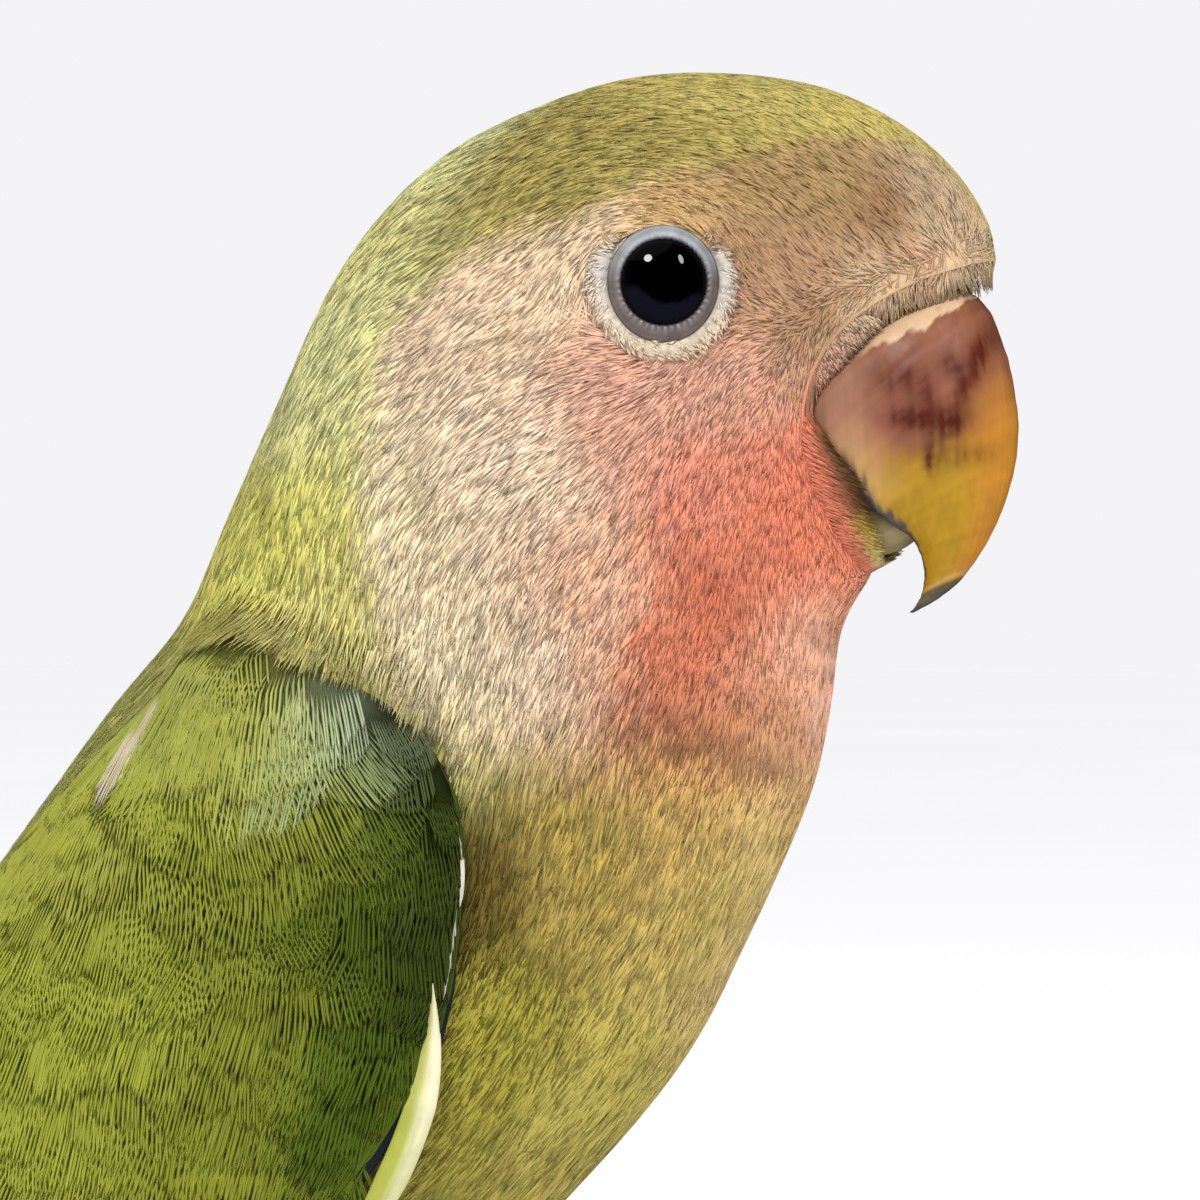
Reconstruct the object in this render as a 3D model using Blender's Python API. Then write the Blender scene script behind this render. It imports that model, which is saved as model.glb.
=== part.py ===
"""A life-size peach-faced lovebird standing on the floor, as a still museum model.

The bird faces +X and is symmetric about the XZ plane. Sizes are in millimetres and are turned
into metres where a mesh is made. The plumage is one smooth loft: rings that start at the feather
edge round the bill and run back over the head, down the neck and body and out along the tail.
A place on it is (ring, angle): angle 0 is the back or crown line and 180 the throat or belly line,
and the bird's right side is at -Y. Wings, quills and coverts are placed by ring and angle, so they
lie on the body at any size.
"""

import math

import bmesh
import bpy
import numpy as np
from mathutils import Matrix, Vector

MM = 0.001
GAP = 0.3               # space kept between neighbouring solids
CENTRE_X = 0.4          # design x of the middle of the bird's length, moved to the origin
FLOOR_Z = 3.0           # design z of the floor that the bird stands on

# Rings of the plumage: name, crown or back point (x, z), throat or belly point (x, z),
# half width, how far the sides of the ring bow back, and squareness (2 is an ellipse).
RINGS = [
    ("bill_edge", (61.9, 96.9), (54.9, 80.2), 5.9, 5.5, 2.0),
    ("forehead", (61.3, 99.4), (54.4, 79.4), 7.5, 7.8, 2.1),
    ("brow", (59.4, 102.3), (53.7, 78.4), 8.9, 9.4, 2.2),
    ("crown_front", (56.5, 104.8), (53.0, 77.0), 10.2, 10.4, 2.3),
    ("crown", (52.4, 106.8), (52.7, 75.2), 11.2, 11.2, 2.3),
    ("crown_middle", (47.3, 107.7), (52.5, 73.4), 12.0, 11.6, 2.3),
    ("crown_back", (41.7, 107.6), (52.2, 71.6), 12.6, 11.6, 2.25),
    ("nape_top", (36.2, 106.1), (51.8, 69.5), 13.2, 11.1, 2.1),
    ("nape", (31.0, 103.5), (51.1, 67.4), 14.0, 10.3, 2.1),
    ("nape_low", (26.4, 98.8), (50.1, 65.0), 15.0, 9.2, 2.05),
    ("neck", (22.7, 91.7), (48.7, 62.0), 16.2, 7.9, 2.0),
    ("neck_low", (19.5, 84.8), (47.0, 58.6), 17.3, 6.7, 2.0),
    ("shoulder", (16.3, 77.8), (45.1, 54.9), 18.0, 5.9, 2.0),
    ("breast", (11.7, 71.8), (42.4, 51.0), 18.4, 5.2, 2.0),
    ("mid_back", (6.3, 64.7), (37.9, 45.9), 18.2, 4.6, 2.0),
    ("belly", (0.2, 56.6), (31.5, 39.6), 17.6, 4.0, 2.0),
    ("low_back", (-6.0, 49.4), (22.5, 34.2), 16.3, 3.4, 2.0),
    ("thigh", (-12.0, 42.8), (12.3, 30.2), 14.4, 2.8, 2.0),
    ("rump", (-17.8, 37.1), (2.5, 27.0), 12.3, 2.2, 2.0),
    ("vent", (-23.2, 32.0), (-6.5, 23.4), 10.4, 1.6, 2.0),
    ("tail_root", (-28.2, 27.7), (-15.2, 19.6), 9.0, 1.2, 2.0),
    ("covert", (-32.8, 23.7), (-23.5, 16.2), 8.2, 0.8, 2.0),
    ("covert_low", (-37.0, 20.2), (-31.0, 13.0), 7.6, 0.5, 2.0),
    ("covert_end", (-41.0, 17.4), (-37.5, 10.6), 7.2, 0.3, 2.0),
    ("tail_1", (-45.6, 14.9), (-43.0, 8.4), 7.4, 0.0, 2.0),
    ("tail_2", (-50.6, 12.4), (-48.5, 6.3), 7.6, 0.0, 2.0),
    ("tail_3", (-55.6, 9.9), (-54.0, 4.2), 7.6, 0.0, 2.0),
    ("tail_4", (-60.6, 7.4), (-59.5, 2.4), 7.4, 0.0, 2.0),
]
RING_TABLE = np.array([[*top, *low, *rest] for _, top, low, *rest in RINGS])
RING_NUMBER = {ring[0]: number for number, ring in enumerate(RINGS)}

HEAD_END = 8.0          # ring where the head meets the neck
NECK_END = 11.6
TORSO_END = 18.6
RUMP_END = float(RING_NUMBER["covert_end"])
RING_SIDES = 32         # faces round the plumage

# Upper bill from root to tip: ridge point (x, z), cutting edge (x, z), half width.
UPPER_BILL = [
    ((57.0, 94.6), (50.6, 90.2), 3.6),
    ((60.2, 95.8), (52.2, 89.4), 4.7),
    ((61.9, 95.0), (53.8, 88.6), 5.0),
    ((62.7, 92.6), (55.2, 86.3), 4.9),
    ((63.15, 89.8), (56.4, 84.4), 4.5),
    ((63.15, 87.0), (57.4, 83.0), 3.9),
    ((62.6, 84.3), (58.1, 82.0), 3.2),
    ((61.6, 81.8), (58.45, 80.7), 2.3),
    ((60.3, 79.8), (58.4, 79.5), 1.5),
    ((58.9, 78.7), (58.0, 78.6), 0.8),
    ((57.6, 78.0), (57.45, 78.0), 0.15),
]
# Lower bill from root to tip: top (x, z), bottom (x, z), half width.
LOWER_BILL = [
    ((51.8, 86.8), (52.0, 82.6), 2.6),
    ((53.6, 86.6), (54.0, 81.2), 3.4),
    ((55.4, 85.6), (55.8, 80.9), 3.5),
    ((56.8, 84.2), (57.1, 81.1), 3.1),
    ((57.9, 83.0), (58.0, 81.6), 2.2),
    ((58.5, 82.3), (58.5, 82.0), 1.0),
]
NOSTRIL = (61.5, 2.3, 94.7)
NOSTRIL_RADIUS = 0.55

EYE_RING, EYE_ANGLE = 2.9, 78.0
EYE_RADIUS = 4.1        # the ball
EYE_OPENING = 2.6       # what shows of it between the lids
LID_RING = 3.45         # radius of the bare ring round the opening
LID_WIDTH = 0.5         # half the width of that ring

# Folded wing. Each table runs along the wing's rings: ring, angle.
WING_UPPER_EDGE = [(9.35, 97.0), (9.5, 91.0), (9.75, 84.0), (10.15, 74.0), (10.7, 60.0), (11.3, 48.0),
                   (12.4, 37.0), (13.5, 31.0), (15.0, 25.0), (17.0, 20.0), (19.0, 17.0)]
WING_LOWER_EDGE = [(9.35, 104.0), (9.5, 108.0), (9.75, 111.5), (10.15, 114.0), (11.1, 117.5), (12.4, 121.0),
                   (13.6, 123.0), (15.0, 121.0), (17.0, 113.0), (19.0, 100.0)]
WING_FRONT, WING_REAR = 9.35, 18.6
SECONDARIES = 6
PRIMARY_ENDS = (24.6, 25.1, 25.0, 24.4, 23.7, 23.0)     # ring where each one ends, outermost first
WING_DEPTH = 2.6        # greatest thickness of the folded arm
WING_CLEARANCE = 0.6    # between the wing's inner face and the body
QUILL_THICKNESS = 0.5
SHAFT_RISE = 0.15        # how far a vane's shaft line stands over its edges

LEG_SIDE = 8.4          # distance of each leg from the middle plane
HIP = (9.5, 33.0)       # x, z of the thigh's root
ANKLE = (0.8, 18.6)
FOOT = (8.2, 5.6)       # x, z where the toes meet
TOE_HEIGHTS = (2.6, 1.9, 1.35, 1.2, 1.1, 1.1, 1.1)      # above the floor, from the foot to the claw
# Toes: name, direction from straight ahead in degrees (outwards is positive), length, claw length.
TOES = [
    ("front_inner", -12.0, 11.0, 3.8),
    ("front_outer", 14.0, 14.5, 4.6),
    ("back_outer", 152.0, 12.5, 4.4),
    ("back_inner", -160.0, 7.5, 3.8),
]

TAIL_START = (-41.3, 13.9)      # x, z of the tail's middle just behind its root
TAIL_SLOPE = 25.0               # degrees below level
TAIL_LENGTH = 22.0
TAIL_FEATHER = 8.0              # width of one feather
TAIL_LAYERS = 6                 # feathers on each side of the middle
TAIL_STEP = 0.8                 # height from one feather to the next below it
TAIL_TOP = 2.5                  # height of the topmost feather over the tail's middle

COLOURS = {
    "face": (0.78, 0.55, 0.38), "neck": (0.45, 0.46, 0.16),
    "belly": (0.50, 0.50, 0.14), "rump": (0.10, 0.35, 0.62), "wing": (0.16, 0.28, 0.05),
    "quill": (0.07, 0.13, 0.06), "tail": (0.16, 0.30, 0.06), "horn": (0.72, 0.48, 0.16),
    "lower_horn": (0.36, 0.36, 0.24), "eye": (0.01, 0.01, 0.012), "leg": (0.42, 0.38, 0.36),
    "claw": (0.12, 0.10, 0.09),
}
ROUGHNESS = {"eye": 0.05, "horn": 0.35, "lower_horn": 0.4, "claw": 0.4, "leg": 0.6}


def clear_scene():
    """Removes everything that the file opened with."""
    for thing in list(bpy.data.objects):
        bpy.data.objects.remove(thing, do_unlink=True)


def make_collection(name):
    group = bpy.data.collections.new(name)
    bpy.context.scene.collection.children.link(group)
    return group


def material(slot):
    """One Principled material for each kind of surface."""
    if slot in bpy.data.materials:
        return bpy.data.materials[slot]
    made = bpy.data.materials.new(slot)
    made.use_nodes = True
    shader = made.node_tree.nodes["Principled BSDF"]
    shader.inputs["Base Color"].default_value = (*COLOURS[slot], 1.0)
    shader.inputs["Roughness"].default_value = ROUGHNESS.get(slot, 0.8)
    shader.inputs["Metallic"].default_value = 0.0
    return made


def add_object(name, points, faces, slot):
    """A mesh object from design points in millimetres, placed in metres."""
    mesh = bpy.data.meshes.new(name)
    placed = (np.asarray(points, float) - (CENTRE_X, 0.0, FLOOR_Z)) * MM
    mesh.from_pydata([tuple(p) for p in placed], [], faces)
    work = bmesh.new()
    work.from_mesh(mesh)
    bmesh.ops.recalc_face_normals(work, faces=work.faces)
    work.to_mesh(mesh)
    work.free()
    made = bpy.data.objects.new(name, mesh)
    made.data.materials.append(material(slot))
    BIRD.objects.link(made)
    return made


def apply_modifiers(thing):
    """Turns what the object's modifiers make into its own mesh."""
    graph = bpy.context.evaluated_depsgraph_get()
    baked = bpy.data.meshes.new_from_object(thing.evaluated_get(graph))
    thing.modifiers.clear()
    old = thing.data
    thing.data = baked
    bpy.data.meshes.remove(old)


def keep_largest(thing):
    """Leaves only the object's largest closed surface."""
    work = bmesh.new()
    work.from_mesh(thing.data)
    unseen, islands = set(work.verts), []
    while unseen:
        island, stack = set(), [unseen.pop()]
        while stack:
            vert = stack.pop()
            island.add(vert)
            for edge in vert.link_edges:
                other = edge.other_vert(vert)
                if other in unseen:
                    unseen.discard(other)
                    stack.append(other)
        islands.append(island)
    largest = max(islands, key=len)
    bmesh.ops.delete(work, geom=[v for v in work.verts if v not in largest], context="VERTS")
    work.to_mesh(thing.data)
    work.free()


def combine(thing, others, operation, solver="MANIFOLD"):
    """Joins or cuts the object by all the others at once, and removes them."""
    group = make_collection(f"{thing.name}_{operation.lower()}")
    for other in others:
        for owner in list(other.users_collection):
            owner.objects.unlink(other)
        group.objects.link(other)
    step = thing.modifiers.new(operation.lower(), "BOOLEAN")
    step.operation = operation
    step.operand_type = "COLLECTION"
    step.collection = group
    step.solver = solver
    apply_modifiers(thing)
    for other in list(group.objects):
        bpy.data.objects.remove(other, do_unlink=True)
    bpy.data.collections.remove(group)
    keep_largest(thing)


def swollen(thing, distance=GAP):
    """A copy of the object grown outwards, used to cut its neighbour clear of it."""
    copy = thing.copy()
    copy.data = thing.data.copy()
    BIRD.objects.link(copy)
    grow = copy.modifiers.new("grow", "DISPLACE")
    grow.strength = distance * MM
    grow.mid_level = 0.0
    apply_modifiers(copy)
    return copy


def between(table, place):
    """Smooth values of a table of stations at any fractional station number."""
    place = np.clip(np.asarray(place, float), 0.0, len(table) - 1.0)
    low = np.minimum(place.astype(int), len(table) - 2)
    t = (place - low)[..., None]
    slopes = np.gradient(table, axis=0)
    start, end = table[low], table[low + 1]
    leave, arrive = slopes[low], slopes[low + 1]
    return ((2 * t**3 - 3 * t**2 + 1) * start + (t**3 - 2 * t**2 + t) * leave
            + (3 * t**2 - 2 * t**3) * end + (t**3 - t**2) * arrive)


def plumage(ring, angle):
    """Points of the plumage at rings and angles in degrees."""
    ring, angle = np.broadcast_arrays(np.asarray(ring, float), np.asarray(angle, float))
    top_x, top_z, low_x, low_z, half, bow, square = np.moveaxis(between(RING_TABLE, ring), -1, 0)
    turn = np.radians(angle)
    up, out = np.cos(turn), np.sin(turn)
    up_share = np.sign(up) * np.abs(up) ** (2 / square)
    out_share = np.sign(out) * np.abs(out) ** (2 / square)
    half_x, half_z = (top_x - low_x) / 2, (top_z - low_z) / 2
    length = np.hypot(half_x, half_z)
    x = (top_x + low_x) / 2 + half_x * up_share - half_z / length * bow * out**2
    z = (top_z + low_z) / 2 + half_z * up_share + half_x / length * bow * out**2
    return np.stack([x, -half * out_share, z], axis=-1)


def outward(ring, angle):
    """Unit normals of the plumage, pointing out."""
    step = 0.02
    along = plumage(np.asarray(ring) + step, angle) - plumage(np.asarray(ring) - step, angle)
    around = plumage(ring, np.asarray(angle) + 1.0) - plumage(ring, np.asarray(angle) - 1.0)
    normal = np.cross(along, around)
    return normal / np.linalg.norm(normal, axis=-1, keepdims=True)


def tube_faces(rows, sides, closed_ends=True):
    """Faces of a tube of rows of points, with a fan of triangles on each end if it is closed."""
    faces = []
    for row in range(rows - 1):
        for side in range(sides):
            after = (side + 1) % sides
            a, b = row * sides + side, row * sides + after
            c, d = (row + 1) * sides + after, (row + 1) * sides + side
            faces += [(a, b, c), (a, c, d)]
    if closed_ends:
        first, last = rows * sides, rows * sides + 1
        for side in range(sides):
            after = (side + 1) % sides
            faces.append((first, after, side))
            faces.append((last, (rows - 1) * sides + side, (rows - 1) * sides + after))
    return faces


def plumage_piece(name, start, end, step, slot, shift_start=0.0, shift_end=0.0):
    """A length of the plumage as a solid, closed across both end rings."""
    count = max(2, round((end - start) / step) + 1)
    rings = np.linspace(start, end, count)
    angles = np.arange(RING_SIDES) * 360.0 / RING_SIDES
    grid = plumage(rings[:, None], angles[None, :])
    ends = []
    for row, ring, shift in ((0, start, shift_start), (-1, end, shift_end)):
        along = sum(plumage(ring + 0.2, angle) - plumage(ring - 0.2, angle) for angle in (0.0, 180.0))
        grid[row] += along / np.linalg.norm(along) * shift
        ends.append(grid[row].mean(0))
    points = np.concatenate([grid.reshape(-1, 3), ends])
    return add_object(name, points, tube_faces(count, RING_SIDES), slot)


def bill_piece(name, stations, sides, slot, sag):
    """A bill half, lofted from sections that span its ridge and its edge."""
    table = np.array([[*top, *low, half] for top, low, half in stations])
    places = np.linspace(0, len(table) - 1, round(1.5 * len(table)))
    top_x, top_z, low_x, low_z, half = between(table, places).T[:, :, None]
    turn = np.arange(sides)[None, :] * 2 * math.pi / sides
    up, out = np.cos(turn), np.sin(turn)
    x = (top_x + low_x) / 2 + (top_x - low_x) / 2 * up
    z = (top_z + low_z) / 2 + (top_z - low_z) / 2 * up
    y = -half * out * (1 - sag * up)
    grid = np.stack([x, y, z], axis=-1)
    points = np.concatenate([grid.reshape(-1, 3), [grid[0].mean(0), grid[-1].mean(0)]])
    return add_object(name, points, tube_faces(len(places), sides), slot)


def ball(name, centre, radius, slot, segments=24, rings=14):
    """A sphere from Blender's primitive."""
    work = bmesh.new()
    bmesh.ops.create_uvsphere(work, u_segments=segments, v_segments=rings, radius=radius)
    points = [tuple(vert.co + Vector(centre)) for vert in work.verts]
    faces = [[vert.index for vert in face.verts] for face in work.faces]
    work.free()
    return add_object(name, points, faces, slot)


def ring_band(name, centre, normal, major, minor, slot, around=28, section=8):
    """A torus that lies square to a normal."""
    turn = Vector(normal).to_track_quat("Z", "Y").to_matrix()
    points = []
    for i in range(around):
        sweep = 2 * math.pi * i / around
        for j in range(section):
            roll = 2 * math.pi * j / section
            reach = major + minor * math.cos(roll)
            local = Vector((reach * math.cos(sweep), reach * math.sin(sweep), minor * math.sin(roll)))
            points.append(tuple(turn @ local + Vector(centre)))
    faces = []
    for i in range(around):
        for j in range(section):
            a, b = i * section + j, i * section + (j + 1) % section
            c, d = (i + 1) % around * section + (j + 1) % section, (i + 1) % around * section + j
            faces.append((a, d, c, b))
    return add_object(name, points, faces, slot)


def mirrored(thing, name):
    """The same solid on the bird's other side."""
    copy = thing.copy()
    copy.data = thing.data.copy()
    copy.name = name
    copy.data.transform(Matrix.Scale(-1.0, 4, (0, 1, 0)))
    copy.data.flip_normals()
    BIRD.objects.link(copy)
    return copy


def slab_faces(rows, columns):
    """Faces of a slab whose top points come first and bottom points after, split alike on both faces."""
    under = rows * columns
    faces = []
    for row in range(rows - 1):
        for column in range(columns - 1):
            a, b = row * columns + column, row * columns + column + 1
            c, d = b + columns, a + columns
            faces += [(a, b, c), (a, c, d)]
            faces += [(under + a, under + c, under + b), (under + a, under + d, under + c)]
    rim = [row * columns for row in range(rows)]
    rim += [(rows - 1) * columns + column for column in range(1, columns)]
    rim += [row * columns + columns - 1 for row in range(rows - 2, -1, -1)]
    rim += list(range(columns - 2, 0, -1))
    for here, after in zip(rim, rim[1:] + rim[:1]):
        faces += [(here, under + here, under + after), (here, under + after, after)]
    return faces


def vane(name, middles, sides, normals, near, far, rise, slot, shaft=True):
    """A feather's vane: rows of points from edge to edge, with the shaft, if shown, a little proud.

    near and far are the half widths against and along sides. rise lifts the far edge and lowers
    the near one."""
    columns = [middles - sides * near[:, None] - normals * rise,
               middles + sides * far[:, None] + normals * rise]
    if shaft:
        columns.insert(1, middles + normals * SHAFT_RISE)
    top = np.stack(columns, axis=1)
    bottom = top - normals[:, None, :] * QUILL_THICKNESS
    points = np.concatenate([top.reshape(-1, 3), bottom.reshape(-1, 3)])
    return add_object(name, points, slab_faces(len(middles), len(columns)), slot)


VANE_ROWS = {                     # share of the length, share of the half width
    "quill": [(0.0, 0.45), (0.3, 0.9), (0.62, 1.0), (0.86, 0.8), (1.0, 0.22)],
    "covert": [(0.0, 0.55), (0.45, 1.0), (0.8, 0.86), (1.0, 0.3)],
}


def laid_feather(name, root, tip, width, lifts, tilt, slot, shape="covert", side_bend=0.0):
    """A vane that lies along the plumage from one (ring, angle) to another.

    lifts are its heights over the plumage at root and tip. tilt raises its lower edge."""
    shares, widths = np.array(VANE_ROWS[shape]).T
    rings = root[0] + (tip[0] - root[0]) * shares
    angles = root[1] + (tip[1] - root[1]) * shares + side_bend * shares * (1 - shares) * 4
    normals = outward(rings, angles)
    lift = lifts[0] + (lifts[1] - lifts[0]) * np.sqrt(shares)
    middles = plumage(rings, angles) + normals * lift[:, None]
    ahead = np.gradient(middles, axis=0)
    sides = np.cross(normals, ahead)
    sides /= np.linalg.norm(sides, axis=1, keepdims=True)
    downwards = plumage(rings, angles + 2.0) - plumage(rings, angles - 2.0)
    sides *= np.sign((sides * downwards).sum(1, keepdims=True))
    half = widths * width / 2
    return vane(name, middles, sides, normals, half, half, tilt, slot, shaft=False)


def edge_angle(table, ring):
    """The wing's edge angle at a ring."""
    rings, angles = np.array(table).T
    return np.interp(ring, rings, angles)


def wing_arm(name):
    """The folded arm: a slab over the body, thickest at the shoulder and rounded to its edges."""
    rows, columns = 11, 7
    rings = WING_FRONT + (WING_REAR - WING_FRONT) * np.linspace(0.0, 1.0, rows) ** 1.5
    upper, lower = edge_angle(WING_UPPER_EDGE, rings), edge_angle(WING_LOWER_EDGE, rings)
    across = (1 - np.cos(np.linspace(0.0, math.pi, columns))) / 2
    angles = upper[:, None] + (lower - upper)[:, None] * across[None, :]
    ring_grid = np.broadcast_to(rings[:, None], angles.shape)
    base, normal = plumage(ring_grid, angles), outward(ring_grid, angles)
    bottom = base + normal * WING_CLEARANCE
    top = bottom + normal * arm_depth(ring_grid, angles)[..., None]
    points = np.concatenate([top.reshape(-1, 3), bottom.reshape(-1, 3)])
    return add_object(name, points, slab_faces(rows, columns), "wing")


def arm_depth(ring, angle):
    """Thickness of the folded arm over a place on the body."""
    ring, angle = np.asarray(ring, float), np.asarray(angle, float)
    ahead = np.clip((ring - WING_FRONT) / (WING_REAR - WING_FRONT), 0.0, 1.0)
    upper, lower = edge_angle(WING_UPPER_EDGE, ring), edge_angle(WING_LOWER_EDGE, ring)
    across = np.clip((angle - upper) / (lower - upper), 0.0, 1.0)
    crown = np.clip(1 - np.abs(2 * across - 1) ** 2.6, 0.0, 1.0) ** 0.6
    front = np.clip(ahead / 0.13, 0.0, 1.0) ** 0.5
    rear = 1 - 0.62 * ahead
    return np.maximum(0.5, WING_DEPTH * crown * front * rear)


def covert_row(prefix, ring, count, shares, length, width, drop, lift):
    """A row of coverts across the folded wing at one ring, evenly between two shares of its width."""
    made = []
    for number in range(count):
        share = shares[0] + (shares[1] - shares[0]) * (number + 0.5) / count
        ends = []
        for place, shift in ((ring, 0.0), (ring + length, drop)):
            upper, lower = edge_angle(WING_UPPER_EDGE, place), edge_angle(WING_LOWER_EDGE, place)
            ends.append((place, upper + (lower - upper) * share + shift))
        sunk = WING_CLEARANCE + float(arm_depth(*ends[0])) - 0.2
        proud = WING_CLEARANCE + float(arm_depth(*ends[1])) + lift
        made.append(laid_feather(f"{prefix}_{number}", *ends, width, (max(sunk, 1.0), max(proud, 1.0)),
                                 0.1, "wing"))
    return made


def make_wing():
    """The right wing: arm, rows of coverts and the secondaries that lie over the primaries."""
    arm = wing_arm("wing_right")
    feathers = []
    feathers += covert_row("lesser_front", 10.3, 4, (0.1, 0.95), 1.35, 5.2, 0.0, 0.4)
    feathers += covert_row("lesser_back", 11.4, 5, (0.05, 0.97), 1.45, 5.0, 0.0, 0.4)
    feathers += covert_row("median", 12.6, 5, (0.06, 0.96), 1.7, 5.2, -1.0, 0.45)
    feathers += covert_row("greater", 13.9, 6, (0.05, 0.95), 2.3, 4.8, -2.0, 0.85)
    for number in range(SECONDARIES):
        share = number / (SECONDARIES - 1)
        root = (15.2, 106.0 - 72.0 * share)
        tip = (21.6 - 2.4 * share**2, 54.0 - 34.0 * share)
        feathers.append(laid_feather(f"secondary_{number}", root, tip, 5.0, (1.9, 3.05), 0.3,
                                     "wing", "quill"))
    for number in range(3):
        root = (11.9 + 0.5 * number, 117.0 + 0.8 * number)
        tip = (13.7 + 0.8 * number, 122.0 + 0.5 * number)
        feathers.append(laid_feather(f"alula_{number}", root, tip, 3.0, (1.15, 1.35), 0.1, "wing"))
    combine(arm, feathers, "UNION")
    return arm


def make_primaries():
    """The right wing's long quills, the outermost lowest, that reach back over the tail."""
    feathers = []
    for number, end in enumerate(PRIMARY_ENDS):
        root = (18.95, 84.0 - 7.5 * number)
        tip = (end, 42.0 - 4.4 * number)
        feathers.append(laid_feather(f"primary_{number}", root, tip, 4.0, (1.2, 1.5), 0.2,
                                     "quill", "quill"))
    hand = feathers.pop(0)
    hand.name = "primaries_right"
    combine(hand, feathers, "UNION")
    return hand


def limb(name, points, radii, slot, sides=8):
    """A tube along points, with a radius at each, from a bevelled curve with welded caps."""
    curve = bpy.data.curves.new(name, "CURVE")
    curve.dimensions = "3D"
    curve.bevel_depth = MM
    curve.bevel_resolution = (sides - 4) // 2
    curve.use_fill_caps = True
    spline = curve.splines.new("POLY")
    spline.points.add(len(points) - 1)
    for point, (x, y, z), radius in zip(spline.points, points, radii):
        point.co = ((x - CENTRE_X) * MM, y * MM, (z - FLOOR_Z) * MM, 1.0)
        point.radius = radius
    guide = bpy.data.objects.new(f"{name}_guide", curve)
    BIRD.objects.link(guide)
    bpy.context.view_layer.update()
    graph = bpy.context.evaluated_depsgraph_get()
    mesh = bpy.data.meshes.new_from_object(guide.evaluated_get(graph))
    made = bpy.data.objects.new(name, mesh)
    made.matrix_world = guide.matrix_world
    bpy.data.objects.remove(guide, do_unlink=True)
    work = bmesh.new()
    work.from_mesh(mesh)
    bmesh.ops.remove_doubles(work, verts=work.verts, dist=1e-6)
    bmesh.ops.recalc_face_normals(work, faces=work.faces)
    work.to_mesh(mesh)
    work.free()
    mesh.materials.clear()
    mesh.materials.append(material(slot))
    BIRD.objects.link(made)
    return made


def toe_path(direction, length):
    """Points of a toe from the foot's middle to its end, and the unit vector it leaves along."""
    turn = math.radians(direction)
    ahead = np.array([math.cos(turn), -math.sin(turn)])
    start = np.array([FOOT[0], -LEG_SIDE])
    shares = (0.0, 0.18, 0.36, 0.52, 0.68, 0.84, 1.0)
    points = [(*(start + ahead * length * share), FLOOR_Z + height)
              for share, height in zip(shares, TOE_HEIGHTS)]
    return points, np.array([ahead[0], ahead[1], 0.0])


def make_leg():
    """The right leg: a scaly shank and four toes, two ahead and two behind, flat where they stand."""
    ankle, foot = np.array([ANKLE[0], -LEG_SIDE, ANKLE[1]]), np.array([FOOT[0], -LEG_SIDE, FOOT[1]])
    hip = np.array([HIP[0], -LEG_SIDE + 0.5, HIP[1]])
    shares = (0.0, 0.07, 0.25, 0.5, 0.8, 1.0)
    path = [ankle + (hip - ankle) * 0.2] + [ankle + (foot - ankle) * share for share in shares]
    shank = limb("leg_right", [tuple(point) for point in path], (1.2, 1.85, 1.8, 1.4, 1.3, 1.4, 1.8), "leg")
    toes, claws = [], []
    for name, direction, length, claw_length in TOES:
        points, ahead = toe_path(direction, length)
        toes.append(limb(f"toe_{name}", points, (1.5, 1.35, 1.2, 1.32, 1.1, 1.2, 0.85), "leg"))
        start = np.array(points[-1]) + ahead * GAP
        claw = []
        for share in (0.0, 0.35, 0.7, 1.0):
            height = 0.42 * math.sin(math.pi * share * 0.9) - 0.98 * share**2
            claw.append(tuple(start + ahead * claw_length * share * (1 - 0.12 * share) + (0, 0, height)))
        claws.append(limb(f"claw_{name}_right", claw, (0.72, 0.66, 0.42, 0.1), "claw", sides=6))
    floor_box = add_box("floor_cut", (-40.0, -40.0, FLOOR_Z - 10.0), (60.0, 40.0, FLOOR_Z))
    combine(shank, toes, "UNION")
    combine(shank, [floor_box], "DIFFERENCE")
    return shank, claws


def add_box(name, low, high):
    """A plain cutter box between two corners in millimetres."""
    work = bmesh.new()
    bmesh.ops.create_cube(work, size=1.0)
    low, high = np.array(low), np.array(high)
    points = [tuple((low + high) / 2 + np.array(vert.co) * (high - low)) for vert in work.verts]
    faces = [[vert.index for vert in face.verts] for face in work.faces]
    work.free()
    return add_object(name, points, faces, "leg")


def make_thigh():
    """The feathered thigh, wide where it leaves the belly and narrow at the ankle."""
    hip = np.array([HIP[0], -LEG_SIDE + 0.5, HIP[1]])
    ankle = np.array([ANKLE[0], -LEG_SIDE, ANKLE[1]])
    shares = (-0.1, 0.1, 0.35, 0.6, 0.8, 0.93)
    return limb("thigh_right", [tuple(hip + (ankle - hip) * share) for share in shares],
                (4.6, 5.4, 5.3, 4.4, 3.4, 2.6), "belly", sides=16)


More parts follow.
